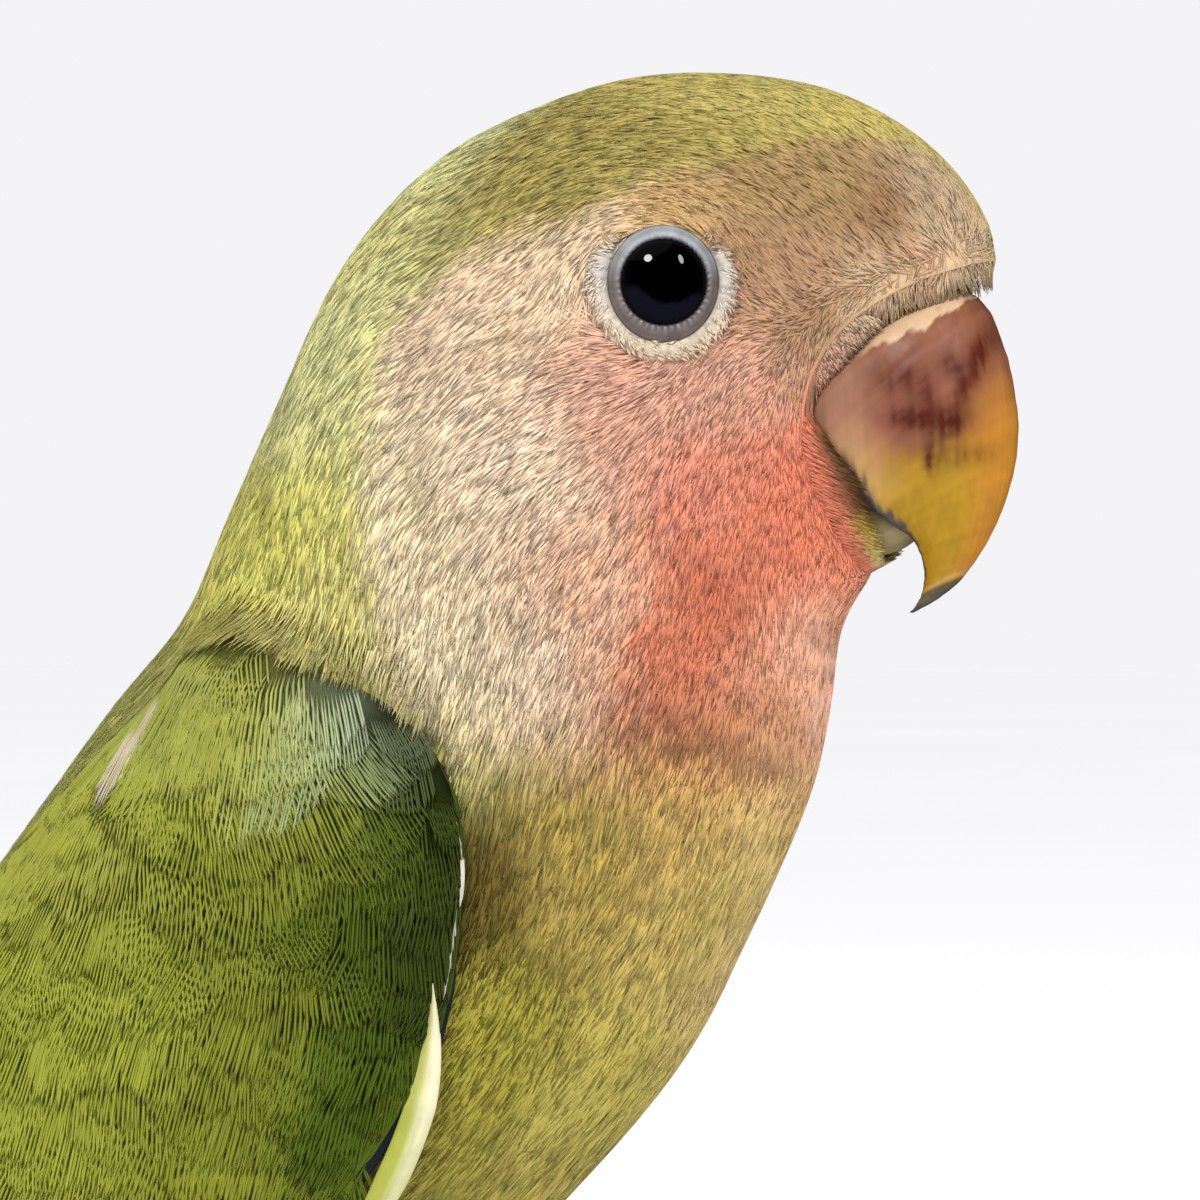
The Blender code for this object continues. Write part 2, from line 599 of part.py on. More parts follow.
def make_tail():
    """Twelve feathers fanned from a short root, the middle pair on top and the outer ones shorter."""
    turn = math.radians(TAIL_SLOPE)
    ahead = np.array([-math.cos(turn), 0.0, -math.sin(turn)])
    up = np.array([-math.sin(turn), 0.0, math.cos(turn)])
    start = np.array([TAIL_START[0], 0.0, TAIL_START[1]])
    shares, widths = np.array(VANE_ROWS["quill"]).T
    normals = np.repeat(up[None, :], len(shares), axis=0)
    feathers = []
    for layer in range(TAIL_LAYERS):
        for hand in (-1.0, 1.0):
            splay = math.radians(1.0 + 2.2 * layer) * hand
            lean = ahead * math.cos(splay) + np.array([0.0, math.sin(splay), 0.0])
            side = np.array([0.0, 1.0, 0.0]) * math.cos(splay) - ahead * math.sin(splay)
            height = TAIL_TOP - TAIL_STEP * (layer + (1 if layer or hand > 0 else 0))
            root = start + np.array([0.0, (0.9 + 0.75 * layer) * hand, 0.0]) + up * height
            middles = root + lean * ((TAIL_LENGTH - 0.25 * layer**2) * shares)[:, None]
            half = widths * TAIL_FEATHER / 2
            inner = half if layer == 0 else np.minimum(half, np.abs(middles[:, 1]) - GAP / 2)
            near, far = (inner, half) if hand > 0 else (half, inner)
            sides = np.repeat(side[None, :], len(shares), axis=0)
            feathers.append(vane(f"tail_{layer}_{hand}", middles, sides, normals, near, far,
                                 -0.2 * hand, "tail"))
    base = plumage_piece("tail", RUMP_END + 0.07, RUMP_END + 0.6, 0.3, "tail")
    combine(base, feathers, "UNION")
    return base


def make_head():
    """Head with lid rings and sockets, and both halves of the bill set into the face."""
    head = plumage_piece("head", 0.0, HEAD_END, 0.5, "face")
    upper = bill_piece("bill_upper", UPPER_BILL, 16, "horn", 0.16)
    lower = bill_piece("bill_lower", LOWER_BILL, 14, "lower_horn", -0.1)
    combine(lower, [swollen(upper)], "DIFFERENCE")
    nostrils = [ball(f"nostril_{hand}", (NOSTRIL[0], NOSTRIL[1] * hand, NOSTRIL[2]), NOSTRIL_RADIUS, "horn",
                     10, 6) for hand in (-1, 1)]
    combine(upper, nostrils, "DIFFERENCE")
    lids, sockets = [], []
    for side, angle in (("right", EYE_ANGLE), ("left", 360.0 - EYE_ANGLE)):
        place, normal = plumage(EYE_RING, angle), outward(EYE_RING, angle)
        sunk = math.sqrt(EYE_RADIUS**2 - EYE_OPENING**2)
        centre = place - normal * sunk
        lids.append(ring_band(f"lid_{side}", place + normal * 0.1, normal, LID_RING, LID_WIDTH,
                              "face", 18, 6))
        sockets.append(ball(f"socket_{side}", centre, EYE_RADIUS + GAP + 0.05, "eye", 16, 10))
        ball(f"eye_{side}", centre, EYE_RADIUS, "eye", 16, 10)
    combine(head, lids, "UNION")
    combine(head, sockets + [swollen(upper), swollen(lower)], "DIFFERENCE")
    return head


def make_bird():
    """Every part in place, with the right side's pieces mirrored to the left."""
    make_head()
    step = GAP / 2
    plumage_piece("neck", HEAD_END, NECK_END, 0.6, "neck", GAP, 0.0)
    torso = plumage_piece("torso", NECK_END, TORSO_END, 0.78, "belly", GAP, -step)
    plumage_piece("rump", TORSO_END, RUMP_END, 0.73, "rump", step, 0.0)
    make_tail()
    wing, hand = make_wing(), make_primaries()
    thigh = make_thigh()
    leg, claws = make_leg()
    combine(thigh, [swollen(leg, 0.42)], "DIFFERENCE")
    for thing in (wing, hand, thigh, leg, *claws):
        mirrored(thing, thing.name.replace("right", "left"))
    thighs = [swollen(bpy.data.objects[name]) for name in ("thigh_right", "thigh_left")]
    combine(torso, thighs, "DIFFERENCE")
    for thing in BIRD.objects:
        thing.data.shade_smooth()
        thing.data.set_sharp_from_angle(angle=math.radians(40.0))


clear_scene()
BIRD = make_collection("lovebird")
make_bird()
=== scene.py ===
"""Looks of a life-size peach-faced lovebird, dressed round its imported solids.

Sizes are in millimetres of the design frame, as in the part's own source, and are turned into
scene metres by to_scene. A place on the plumage is (ring, angle): rings run from the bill back to
the tail, angle 0 is the crown or back line, 180 the throat or belly line, and the bird's right
side is at -Y.
"""

import math

import bmesh
import bpy
import numpy as np
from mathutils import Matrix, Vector
from mathutils.kdtree import KDTree


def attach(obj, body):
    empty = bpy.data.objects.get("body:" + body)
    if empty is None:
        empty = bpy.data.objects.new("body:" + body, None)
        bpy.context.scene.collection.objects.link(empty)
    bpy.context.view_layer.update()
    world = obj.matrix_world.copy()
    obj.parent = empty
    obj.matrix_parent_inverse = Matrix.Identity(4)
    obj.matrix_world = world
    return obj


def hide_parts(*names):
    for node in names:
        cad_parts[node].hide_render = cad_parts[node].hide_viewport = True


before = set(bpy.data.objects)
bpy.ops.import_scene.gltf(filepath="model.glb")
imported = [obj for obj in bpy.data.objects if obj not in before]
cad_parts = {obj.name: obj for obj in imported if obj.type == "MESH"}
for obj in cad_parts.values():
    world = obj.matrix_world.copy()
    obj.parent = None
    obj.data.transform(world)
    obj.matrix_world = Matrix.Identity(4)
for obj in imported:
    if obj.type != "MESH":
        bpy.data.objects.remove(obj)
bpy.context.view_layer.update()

MM = 0.001
CENTRE_X = 0.4
FLOOR_Z = 3.0
SEED = 20

# Rings of the plumage: crown or back point (x, z), throat or belly point (x, z), half width,
# how far the sides bow back, squareness.
RING_TABLE = np.array([
    (61.9, 96.9, 54.9, 80.2, 5.9, 5.5, 2.0),
    (61.3, 99.4, 54.4, 79.4, 7.5, 7.8, 2.1),
    (59.4, 102.3, 53.7, 78.4, 8.9, 9.4, 2.2),
    (56.5, 104.8, 53.0, 77.0, 10.2, 10.4, 2.3),
    (52.4, 106.8, 52.7, 75.2, 11.2, 11.2, 2.3),
    (47.3, 107.7, 52.5, 73.4, 12.0, 11.6, 2.3),
    (41.7, 107.6, 52.2, 71.6, 12.6, 11.6, 2.25),
    (36.2, 106.1, 51.8, 69.5, 13.2, 11.1, 2.1),
    (31.0, 103.5, 51.1, 67.4, 14.0, 10.3, 2.1),
    (26.4, 98.8, 50.1, 65.0, 15.0, 9.2, 2.05),
    (22.7, 91.7, 48.7, 62.0, 16.2, 7.9, 2.0),
    (19.5, 84.8, 47.0, 58.6, 17.3, 6.7, 2.0),
    (16.3, 77.8, 45.1, 54.9, 18.0, 5.9, 2.0),
    (11.7, 71.8, 42.4, 51.0, 18.4, 5.2, 2.0),
    (6.3, 64.7, 37.9, 45.9, 18.2, 4.6, 2.0),
    (0.2, 56.6, 31.5, 39.6, 17.6, 4.0, 2.0),
    (-6.0, 49.4, 22.5, 34.2, 16.3, 3.4, 2.0),
    (-12.0, 42.8, 12.3, 30.2, 14.4, 2.8, 2.0),
    (-17.8, 37.1, 2.5, 27.0, 12.3, 2.2, 2.0),
    (-23.2, 32.0, -6.5, 23.4, 10.4, 1.6, 2.0),
    (-28.2, 27.7, -15.2, 19.6, 9.0, 1.2, 2.0),
    (-32.8, 23.7, -23.5, 16.2, 8.2, 0.8, 2.0),
    (-37.0, 20.2, -31.0, 13.0, 7.6, 0.5, 2.0),
    (-41.0, 17.4, -37.5, 10.6, 7.2, 0.3, 2.0),
    (-45.6, 14.9, -43.0, 8.4, 7.4, 0.0, 2.0),
    (-50.6, 12.4, -48.5, 6.3, 7.6, 0.0, 2.0),
    (-55.6, 9.9, -54.0, 4.2, 7.6, 0.0, 2.0),
    (-60.6, 7.4, -59.5, 2.4, 7.4, 0.0, 2.0),
])
LAST_RING = len(RING_TABLE) - 1.0
RING_STEP, ANGLE_STEP = 0.03, 0.7    # how far to either side slopes are measured, in rings and degrees
SIDES = (("right", 1.0), ("left", -1.0))

# Folded wing: ring and angle of its upper and lower edges.
WING_UPPER_EDGE = np.array([
    (9.35, 97.0), (9.5, 91.0), (9.75, 84.0), (10.15, 74.0), (10.7, 60.0), (11.3, 48.0),
    (12.4, 37.0), (13.5, 31.0), (15.0, 25.0), (17.0, 20.0), (19.0, 17.0),
])
WING_LOWER_EDGE = np.array([(9.35, 104.0), (9.5, 108.0), (9.75, 111.5), (10.15, 114.0), (11.1, 117.5),
                            (12.4, 121.0), (13.6, 123.0), (15.0, 121.0), (17.0, 113.0), (19.0, 100.0)])
WING_FRONT, WING_REAR = 9.35, 18.6
WING_DEPTH = 2.6
WING_CLEARANCE = 0.6

EYE_RING, EYE_ANGLE = 2.9, 78.0
EYE_RADIUS, EYE_OPENING = 4.1, 2.6


# Shape of the plumage.

def to_scene(points):
    """Design millimetres to scene metres."""
    return (np.asarray(points, float) - (CENTRE_X, 0.0, FLOOR_Z)) * MM


def between(table, place):
    """Smooth values of a table of stations at any fractional station number."""
    place = np.clip(np.asarray(place, float), 0.0, len(table) - 1.0)
    low = np.minimum(place.astype(int), len(table) - 2)
    t = (place - low)[..., None]
    slopes = np.gradient(table, axis=0)
    return ((2 * t**3 - 3 * t**2 + 1) * table[low] + (t**3 - 2 * t**2 + t) * slopes[low]
            + (3 * t**2 - 2 * t**3) * table[low + 1] + (t**3 - t**2) * slopes[low + 1])


def plumage(ring, angle):
    """Points of the plumage at rings and angles in degrees."""
    ring, angle = np.broadcast_arrays(np.asarray(ring, float), np.asarray(angle, float))
    top_x, top_z, low_x, low_z, half, bow, square = np.moveaxis(between(RING_TABLE, ring), -1, 0)
    turn = np.radians(angle)
    up, out = np.cos(turn), np.sin(turn)
    up_share = np.sign(up) * np.abs(up) ** (2 / square)
    out_share = np.sign(out) * np.abs(out) ** (2 / square)
    half_x, half_z = (top_x - low_x) / 2, (top_z - low_z) / 2
    length = np.hypot(half_x, half_z)
    x = (top_x + low_x) / 2 + half_x * up_share - half_z / length * bow * out**2
    z = (top_z + low_z) / 2 + half_z * up_share + half_x / length * bow * out**2
    return np.stack([x, -half * out_share, z], axis=-1)


def unit(vectors):
    """Vectors of length 1."""
    return vectors / np.maximum(np.linalg.norm(vectors, axis=-1, keepdims=True), 1e-9)


def dot(a, b):
    """Scalar products of rows of vectors."""
    return (a * b).sum(-1)


def blend(base, other, share):
    """A value or colour with a share of another in it."""
    return base * (1 - share) + other * share


def smooth(value, low, high):
    """A share that goes from 0 at low to 1 at high, with a soft start and end."""
    share = np.clip((value - low) / (high - low), 0.0, 1.0)
    return share * share * (3 - 2 * share)


def walked_along(line):
    """Distance walked to each point of a line."""
    return np.concatenate([[0.0], np.cumsum(np.linalg.norm(np.diff(line, axis=0), axis=1))])


def slopes_of(surface, ring, angle):
    """A surface's change for each ring and for each degree, and its outward normal."""
    along = (surface(ring + RING_STEP, angle) - surface(ring - RING_STEP, angle)) / (2 * RING_STEP)
    around = (surface(ring, angle + ANGLE_STEP) - surface(ring, angle - ANGLE_STEP)) / (2 * ANGLE_STEP)
    return along, around, unit(np.cross(along, around))


def slopes_at(ring, angle):
    """The plumage's slopes and normal, also right at its first and last rings."""
    return slopes_of(plumage, np.clip(ring, RING_STEP, LAST_RING - RING_STEP), angle)


def frame_at(surface, ring, angle):
    """A surface's slopes, and unit vectors ahead, beside and outwards."""
    along, around, normal = slopes_of(surface, ring, angle)
    ahead = unit(along)
    return along, around, ahead, unit(around - ahead * dot(around, ahead)[..., None]), normal


def folded(angle):
    """Angle from the back line to the belly line, the same on both sides."""
    angle = np.mod(angle, 360.0)
    return np.minimum(angle, 360.0 - angle)


def upper_edge(ring):
    """Angle of the folded wing's upper edge at rings."""
    return np.interp(ring, *WING_UPPER_EDGE.T)


def lower_edge(ring):
    """Angle of the folded wing's lower edge at rings."""
    return np.interp(ring, *WING_LOWER_EDGE.T)


def wing_height(ring, angle):
    """Height of the folded wing's outer face over the plumage, and zero off the wing."""
    side = folded(angle)
    upper, lower = upper_edge(ring), lower_edge(ring)
    across = np.clip((side - upper) / (lower - upper), 0.0, 1.0)
    ahead = np.clip((ring - WING_FRONT) / (WING_REAR - WING_FRONT), 0.0, 1.0)
    crown = np.clip(1 - np.abs(2 * across - 1) ** 2.6, 0.0, 1.0) ** 0.6
    depth = WING_DEPTH * crown * np.clip(ahead / 0.13, 0.0, 1.0) ** 0.5 * (1 - 0.62 * ahead)
    on_wing = (ring > WING_FRONT) & (ring < 19.5) & (side > upper) & (side < lower)
    return np.where(on_wing, WING_CLEARANCE + np.maximum(0.5, depth), 0.0)


# Mesh makers.

def linear(*rgb):
    """Linear colour from a 0 to 255 screen colour."""
    c = np.asarray(rgb, float) / 255.0
    return np.where(c <= 0.04045, c / 12.92, ((c + 0.055) / 1.055) ** 2.4)


def place_object(name, data):
    """A new object in the scene that shows the data."""
    made = bpy.data.objects.new(name, data)
    bpy.context.scene.collection.objects.link(made)
    return made


def paint_points(mesh, paint):
    """Gives each point of a mesh its own linear colour."""
    layer = mesh.attributes.get("Coat") or mesh.attributes.new("Coat", "FLOAT_COLOR", "POINT")
    rgba = np.concatenate([paint, np.ones((len(paint), 1))], axis=1)
    layer.data.foreach_set("color", rgba.astype(np.float32).ravel())


def mesh_object(name, points, face_groups, paint, uv=None, vane_uv=None, turn_out=False):
    """A smooth mesh object from design points and arrays of same-sided faces.

    turn_out makes every closed surface of it face outwards."""
    mesh = bpy.data.meshes.new(name)
    mesh.vertices.add(len(points))
    mesh.vertices.foreach_set("co", to_scene(points).astype(np.float32).ravel())
    loops = np.concatenate([faces.ravel() for faces in face_groups]).astype(np.int32)
    sizes = np.concatenate([np.full(len(faces), faces.shape[1]) for faces in face_groups])
    mesh.loops.add(len(loops))
    mesh.loops.foreach_set("vertex_index", loops)
    mesh.polygons.add(len(sizes))
    mesh.polygons.foreach_set("loop_start", np.concatenate([[0], np.cumsum(sizes)[:-1]]).astype(np.int32))
    mesh.polygons.foreach_set("use_smooth", np.ones(len(sizes), bool))
    mesh.update(calc_edges=True)
    paint_points(mesh, paint)
    for map_name, places in (("OFBake", uv), ("Vane", vane_uv)):
        if places is not None:
            layer = mesh.uv_layers.new(name=map_name)
            layer.data.foreach_set("uv", places[loops].astype(np.float32).ravel())
    if turn_out:
        work = bmesh.new()
        work.from_mesh(mesh)
        bmesh.ops.recalc_face_normals(work, faces=work.faces)
        work.to_mesh(mesh)
        work.free()
    return place_object(name, mesh)


def dress(piece, shader, slot, *nodes):
    """Gives a piece its material and body, and hides the nodes it stands for; slot is not used."""
    piece.data.materials.clear()
    piece.data.materials.append(shader)
    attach(piece, "root")
    if nodes:
        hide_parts(*nodes)


def skin_uv(ring, angle, mirror=1.0):
    """Where a place on the plumage, or its mirror image at -1, lies on the unwrap."""
    turn = np.mod(angle * mirror, 360.0)
    return np.stack([0.02 + 0.96 * turn / 360.0, 0.02 + 0.96 * ring / LAST_RING], axis=-1)


# Colours of the green coat, as screen colours of 0 to 255, with the places by ring and angle that each rules.
GREEN_COAT = {
    "crown": ((174, 160, 90), (2.9, 5.0), (4.7, 21.0)),
    "crown_side": ((152, 139, 76), (5.5, 36.0), (4.1, 41.0)),
    "nape": ((190, 188, 132), (8.8, 42.0), (7.4, 8.0)),
    "nape_low": ((188, 184, 94), (10.1, 49.0), (9.6, 6.0)),
    "neck_side": ((190, 183, 112), (9.25, 80.0), (9.2, 100.0)),
    # mantle: its own yellow green, lightened in part as painted light that offsets the back's shade.
    "mantle": ((182, 182, 98), (12.0, 20.0), (15.0, 0.0), (15.0, 45.0)),
    "breast_top": ((182, 154, 87), (7.9, 150.0), (7.6, 176.0)),
    # rim: a lighter band along the breast's front outline, painted light.
    "rim": ((204, 180, 116), (7.2, 171.0), (8.4, 173.0), (10.0, 174.0)),
    "breast_side": ((162, 142, 72), (9.4, 134.0)),
    "breast": ((183, 163, 88), (9.6, 162.0)),
    "breast_low": ((176, 164, 79), (12.4, 158.0)),
    # wing_shade: painted shadow that the folded wing casts on the breast below its front edge.
    "wing_shade": ((92, 78, 20), (10.3, 116.0), (10.6, 117.0)),
    "flank": ((146, 138, 50), (12.0, 128.0), (11.4, 124.0), (15.0, 120.0)),
    "belly": ((176, 176, 74), (15.5, 170.0), (18.0, 140.0), (17.2, 95.0)),
    "vent": ((150, 172, 60), (21.5, 175.0), (22.5, 120.0)),
    "rump": ((38, 112, 190), (18.4, 0.0), (18.6, 40.0), (21.5, 0.0), (21.5, 45.0)),
    "rump_side": ((92, 156, 90), (23.0, 0.0), (19.8, 82.0)),
}
# Colours and places of the face in the same way.
FACE_COAT = {
    "forehead": ((166, 144, 116), (0.3, 0.0), (0.9, 20.0), (1.7, 14.0)),
    "fringe": ((192, 168, 138), (0.0, 28.0), (0.0, 55.0)),
    "forehead_low": ((132, 95, 60), (1.15, 38.5)),
    "brow": ((150, 125, 82), (2.0, 40.0), (2.6, 50.0)),
    "temple": ((176, 146, 98), (3.1, 62.5)),
    "lore": ((156, 123, 92), (0.8, 67.0), (1.6, 72.0)),
    "behind_eye": ((208, 184, 154), (5.15, 70.0), (4.2, 64.0)),
    "cheek": ((219, 198, 171), (5.5, 92.0), (6.6, 116.0), (4.3, 100.0)),
    "cheek_low": ((208, 168, 140), (5.6, 123.0), (4.7, 120.0)),
    "ear": ((212, 197, 162), (7.0, 84.0), (7.6, 104.0)),
    "under_eye": ((200, 154, 132), (2.5, 98.0), (3.3, 103.0), (1.4, 92.0)),
    "coral": ((206, 129, 105), (2.15, 118.0)),
    "coral_deep": ((206, 120, 92), (1.2, 142.0), (0.35, 122.0), (0.3, 155.0)),
    "coral_low": ((190, 107, 78), (3.4, 134.0), (4.9, 134.0)),
    "jaw": ((173, 113, 81), (6.2, 142.0)),
    "throat": ((227, 176, 147), (2.4, 165.0), (3.9, 176.0)),
    "throat_low": ((184, 130, 98), (5.4, 162.0)),
}
# Colours that rule no place.
TRIM = {
    "red_spot": ((206, 92, 70),), "chin": ((170, 146, 60),), "chin_tip": ((200, 182, 112),),
    "gape": ((180, 110, 70),), "bristle": ((96, 66, 36),),
}
FEATHER = {name: linear(*entry[0]) for name, entry in (GREEN_COAT | FACE_COAT | TRIM).items()}
# The line between the green crown and the face, as angles by ring, and where the face ends, as rings
# by angle. Past it the two mix over a width, in millimetres, that grows towards the breast.
CROWN_LINE = np.array([
    (0.0, 0.0), (1.5, 2.0), (2.1, 12.0), (2.55, 24.0), (3.15, 48.0), (4.5, 57.0),
    (6.9, 57.0),
])
FACE_END = np.array([
    (0.0, 6.9), (57.0, 6.9), (70.0, 7.35), (82.0, 7.85), (95.0, 8.6), (106.0, 8.7),
    (120.0, 7.9), (132.0, 7.4), (144.0, 7.0), (160.0, 6.7), (180.0, 6.6),
])
MIX_WIDTH = np.array([(0.0, 2.4), (30.0, 2.8), (55.0, 1.8), (85.0, 2.4), (130.0, 3.4), (180.0, 4.2)])
RED_SPOT, RED_SPREAD = (0.42, 36.0), (0.32, 0.4, 0.36)
# How strongly single strands stand out, then ring and angle: full on the cheek, faint on throat and breast.
RELIEF_PLACES = np.array([
    (1.0, 5.5, 92.0), (0.55, 5.2, 70.0), (0.85, 3.9, 95.0), (0.85, 7.0, 112.0), (0.7, 2.3, 102.0),
    (0.22, 1.9, 135.0), (0.2, 0.4, 119.0), (0.5, 2.15, 114.0), (0.2, 5.45, 160.0), (0.18, 4.5, 136.0),
    (0.7, 7.0, 126.0), (0.4, 8.5, 132.0), (0.25, 7.75, 152.0), (0.2, 10.8, 151.0), (0.25, 11.0, 130.0),
    (0.14, 12.9, 158.0), (0.65, 5.3, 40.0), (0.45, 4.7, 10.0), (0.4, 3.0, 25.0), (0.4, 1.5, 30.0),
    (0.35, 0.3, 40.0), (0.4, 0.8, 70.0), (0.6, 2.3, 55.0), (0.45, 9.25, 80.0), (0.6, 8.0, 45.0),
    (0.3, 10.1, 49.0), (0.6, 8.4, 96.0), (0.6, 14.0, 20.0), (0.6, 18.0, 160.0), (0.7, 20.0, 20.0),
])
LEAST_DEPTH = 0.28      # share of the coat's depth left where nothing stands out


def ripple(points, size, seed):
    """Smooth waves over space, about -1 to 1, of a size in millimetres."""
    rng = np.random.default_rng(seed)
    total = np.zeros(len(points))
    for _ in range(6):
        wave = unit(rng.normal(size=3)) * 2 * math.pi / (size * rng.uniform(0.7, 1.4))
        total += np.sin(points @ wave + rng.uniform(0.0, 2 * math.pi))
    return total / 2.5


def near_mix(points, places, values, soft, power=2.4):
    """Values mixed from those of (ring, angle) places, each of which rules what lies nearest to it."""
    right = points * (1.0, 0.0, 1.0) - np.abs(points) * (0.0, 1.0, 0.0)
    gaps = ((right[:, None] - plumage(*places.T)[None]) ** 2).sum(-1)
    pull = 1.0 / (gaps + soft) ** power
    return (pull @ values) / pull.sum(1, keepdims=True)


def zone_colours(coat, points, soft=6.0, power=2.4):
    """Colours of points, mixed from the colours of a coat."""
    places = np.array([place for entry in coat.values() for place in entry[1:]])
    shades = np.array([linear(*entry[0]) for entry in coat.values() for _ in entry[1:]])
    return near_mix(points, places, shades, soft, power)


def relief_at(points):
    """How strongly strands stand out at points of the plumage."""
    return near_mix(points, RELIEF_PLACES[:, 1:], RELIEF_PLACES[:, :1], 3.0)[:, 0]


def pressed(relief):
    """Share of its depth that the coat keeps."""
    return LEAST_DEPTH + (1 - LEAST_DEPTH) * relief


def coat_colours(ring, angle, stray=0.0):
    """Colours of the coat. stray moves places across the lines between colours, in millimetres."""
    side = folded(angle)
    points = plumage(ring, side)
    along, around, _ = slopes_at(ring, side)
    below_crown = (side - np.interp(ring, *CROWN_LINE.T)) * np.linalg.norm(around, axis=-1)
    before_end = (np.interp(side, *FACE_END.T) - ring) * np.linalg.norm(along, axis=-1)
    width = np.interp(side, *MIX_WIDTH.T)
    face = smooth(np.minimum(below_crown, before_end) + stray, -width, width)[:, None]
    moved = points + unit(around) * np.broadcast_to(1.4 * stray, side.shape)[:, None]
    red = 0.5 * np.exp(-(((points - plumage(*RED_SPOT)) / RED_SPREAD) ** 2).sum(-1))[:, None]
    peach = blend(zone_colours(FACE_COAT, moved), FEATHER["red_spot"], red)
    return blend(zone_colours(GREEN_COAT, points), peach, face)


# Strands of the coat.

HAIR = np.array([0.0, 0.5, 1.0])          # along a strand of the coat: root, widest place, tip
BARB = np.array([0.0, 0.42, 0.86, 1.0])   # along a barb of the wing: root, both ends of full width, tip
# By ring: tufts to a square millimetre, strand length, strand width, depth of the coat.
COAT = np.array([
    (0.0, 8.4, 1.3, 0.115, 0.13), (1.0, 7.4, 1.7, 0.120, 0.15), (3.0, 6.2, 2.4, 0.130, 0.19),
    (6.0, 5.2, 3.1, 0.135, 0.23), (9.0, 4.2, 3.6, 0.150, 0.28), (12.0, 3.0, 4.1, 0.180, 0.36),
    (16.0, 1.6, 3.8, 0.260, 0.60), (19.0, 1.2, 4.2, 0.310, 0.70), (23.0, 1.1, 3.6, 0.330, 0.60),
])
TUFT = 5                # strands in a tuft
PIECE_STRANDS = 32000   # strands in one piece, six triangles each
SLOT_ENDS = (("face", 8.0), ("neck", 11.6), ("belly", 18.6), ("rump", LAST_RING))
# Paint factors of the skin and of the strands' tips; the skin's, above one, is painted light that offsets the
# shade between strands.
SKIN_SHADE, TIP_SHADE = 1.06, 1.02
# How far, in rings, strands may reach past the first ring, by angle from the crown.
FRINGE = np.array([(0.0, 0.5), (50.0, 0.55), (75.0, 0.65), (98.0, 0.6), (112.0, 0.3), (180.0, 0.15)])
# How far strands that run onto the bill sink to it, by angle from the crown.
BILL_DIP = np.array([(0.0, 0.5), (45.0, 0.5), (75.0, 1.1), (98.0, 1.0), (115.0, 0.5), (180.0, 0.4)])
WHORL = (0.32, 27.0)    # ring and angle of the parting on the forehead
EYE_STREAM = 11.0       # how strongly the coat flows round the eye, as a stream round a post
MANTLE_LIFT = 0.6       # how much fuller the coat is between the wings
# No feather roots nearer the middle of the eye than this, by degrees from the front, up and round.
LID_CLEAR = np.array([(0.0, 3.55), (40.0, 3.25), (75.0, 3.0), (110.0, 2.98), (140.0, 3.2), (165.0, 4.0),
                      (200.0, 3.6), (270.0, 3.8), (320.0, 3.7), (360.0, 3.55)])


def coat_sizes(ring):
    """Tuft density, strand length, strand width and coat depth at rings."""
    return [np.interp(ring, COAT[:, 0], sizes) for sizes in COAT.T[1:]]


def deepened(colour):
    """A coat colour as it shows low between strands: fuller and a little lighter, painted light that offsets
    their shade.
    """
    return 1.28 * colour**1.14


def heading(surface, ring, angle, turn):
    """Rings and degrees travelled for each millimetre, going turn degrees off the lie of the coat."""
    along, around, ahead, beside, _ = frame_at(surface, ring, angle)
    degrees = np.sin(np.radians(turn)) / dot(around, beside)
    rings = (np.cos(np.radians(turn)) - degrees * dot(around, ahead)) / np.linalg.norm(along, axis=-1)
    return rings, degrees


def open_plumage(ring, angle):
    """The plumage, carried on in a straight line ahead of its first ring."""
    start = plumage(np.maximum(ring, 0.0), angle)
    slope = (plumage(0.3, angle) - plumage(0.0, angle)) / 0.3
    return start + slope * np.minimum(ring, 0.0)[..., None]


def scatter(rng, surface, ring_start, ring_end, density, row_step=0.1):
    """Roots spread evenly by area over a stretch of a surface that goes all the way round."""
    probe = np.linspace(0.0, 360.0, 241)
    rings, angles = [], []
    for ring in np.arange(ring_start + row_step / 2, ring_end, row_step):
        row = np.full(len(probe), ring)
        along, around = frame_at(surface, row, probe)[:2]
        per_degree = np.linalg.norm(np.cross(along, around), axis=1) * row_step * density(ring)
        walked = np.concatenate([[0.0], np.cumsum((per_degree[1:] + per_degree[:-1]) * 0.75)])
        spots = np.arange(rng.uniform(), walked[-1], 1.0)
        spots += rng.uniform(-0.4, 0.4, len(spots))
        angles.append(np.interp(spots, walked, probe))
        rings.append(ring + rng.uniform(-0.5, 0.5, len(spots)) * row_step)
    return np.concatenate(rings), np.concatenate(angles)


def lie_of_coat(ring, angle):
    """How far feathers turn off the lie of the rings: round the eye, and out from the forehead's parting."""
    side = folded(angle)
    points = open_plumage(ring, side)
    _, _, ahead, beside, _ = frame_at(open_plumage, ring, side)
    from_eye = points - eye_axes(1.0)[0]
    back, down = dot(from_eye, ahead), dot(from_eye, beside)
    stream = EYE_STREAM * smooth(ring, 9.0, 6.0) / np.maximum(back**2 + down**2, 9.0) ** 2
    away = points - plumage(*WHORL)
    gap = np.linalg.norm(away, axis=1)
    parting = 1.2 * np.exp(-((gap / 2.4) ** 2)) / np.maximum(gap, 0.5)
    first_rows, before_throat = smooth(ring, 0.9, 0.1), smooth(side, 176.0, 150.0)
    flow_back = 1 - stream * (back**2 - down**2) + dot(away, ahead) * parting
    flow_back -= 3.0 * smooth(ring, 0.6, 0.15) * smooth(side, 72.0, 52.0)
    flow_back -= 2.2 * first_rows * smooth(side, 50.0, 72.0)
    flow_down = -2 * stream * back * down + dot(away, beside) * parting
    flow_down += 2.6 * first_rows * smooth(side, 40.0, 64.0) * before_throat
    flow_down += 3.0 * np.exp(-ring / 1.5) * smooth(side, 74.0, 108.0) * before_throat
    turn = np.degrees(np.arctan2(flow_down, flow_back))
    turn += 5.0 * ripple(points, 7.0, 3) + 3.0 * ripple(points, 2.5, 4)
    return np.where(np.mod(angle, 360.0) < 180.0, turn, -turn)


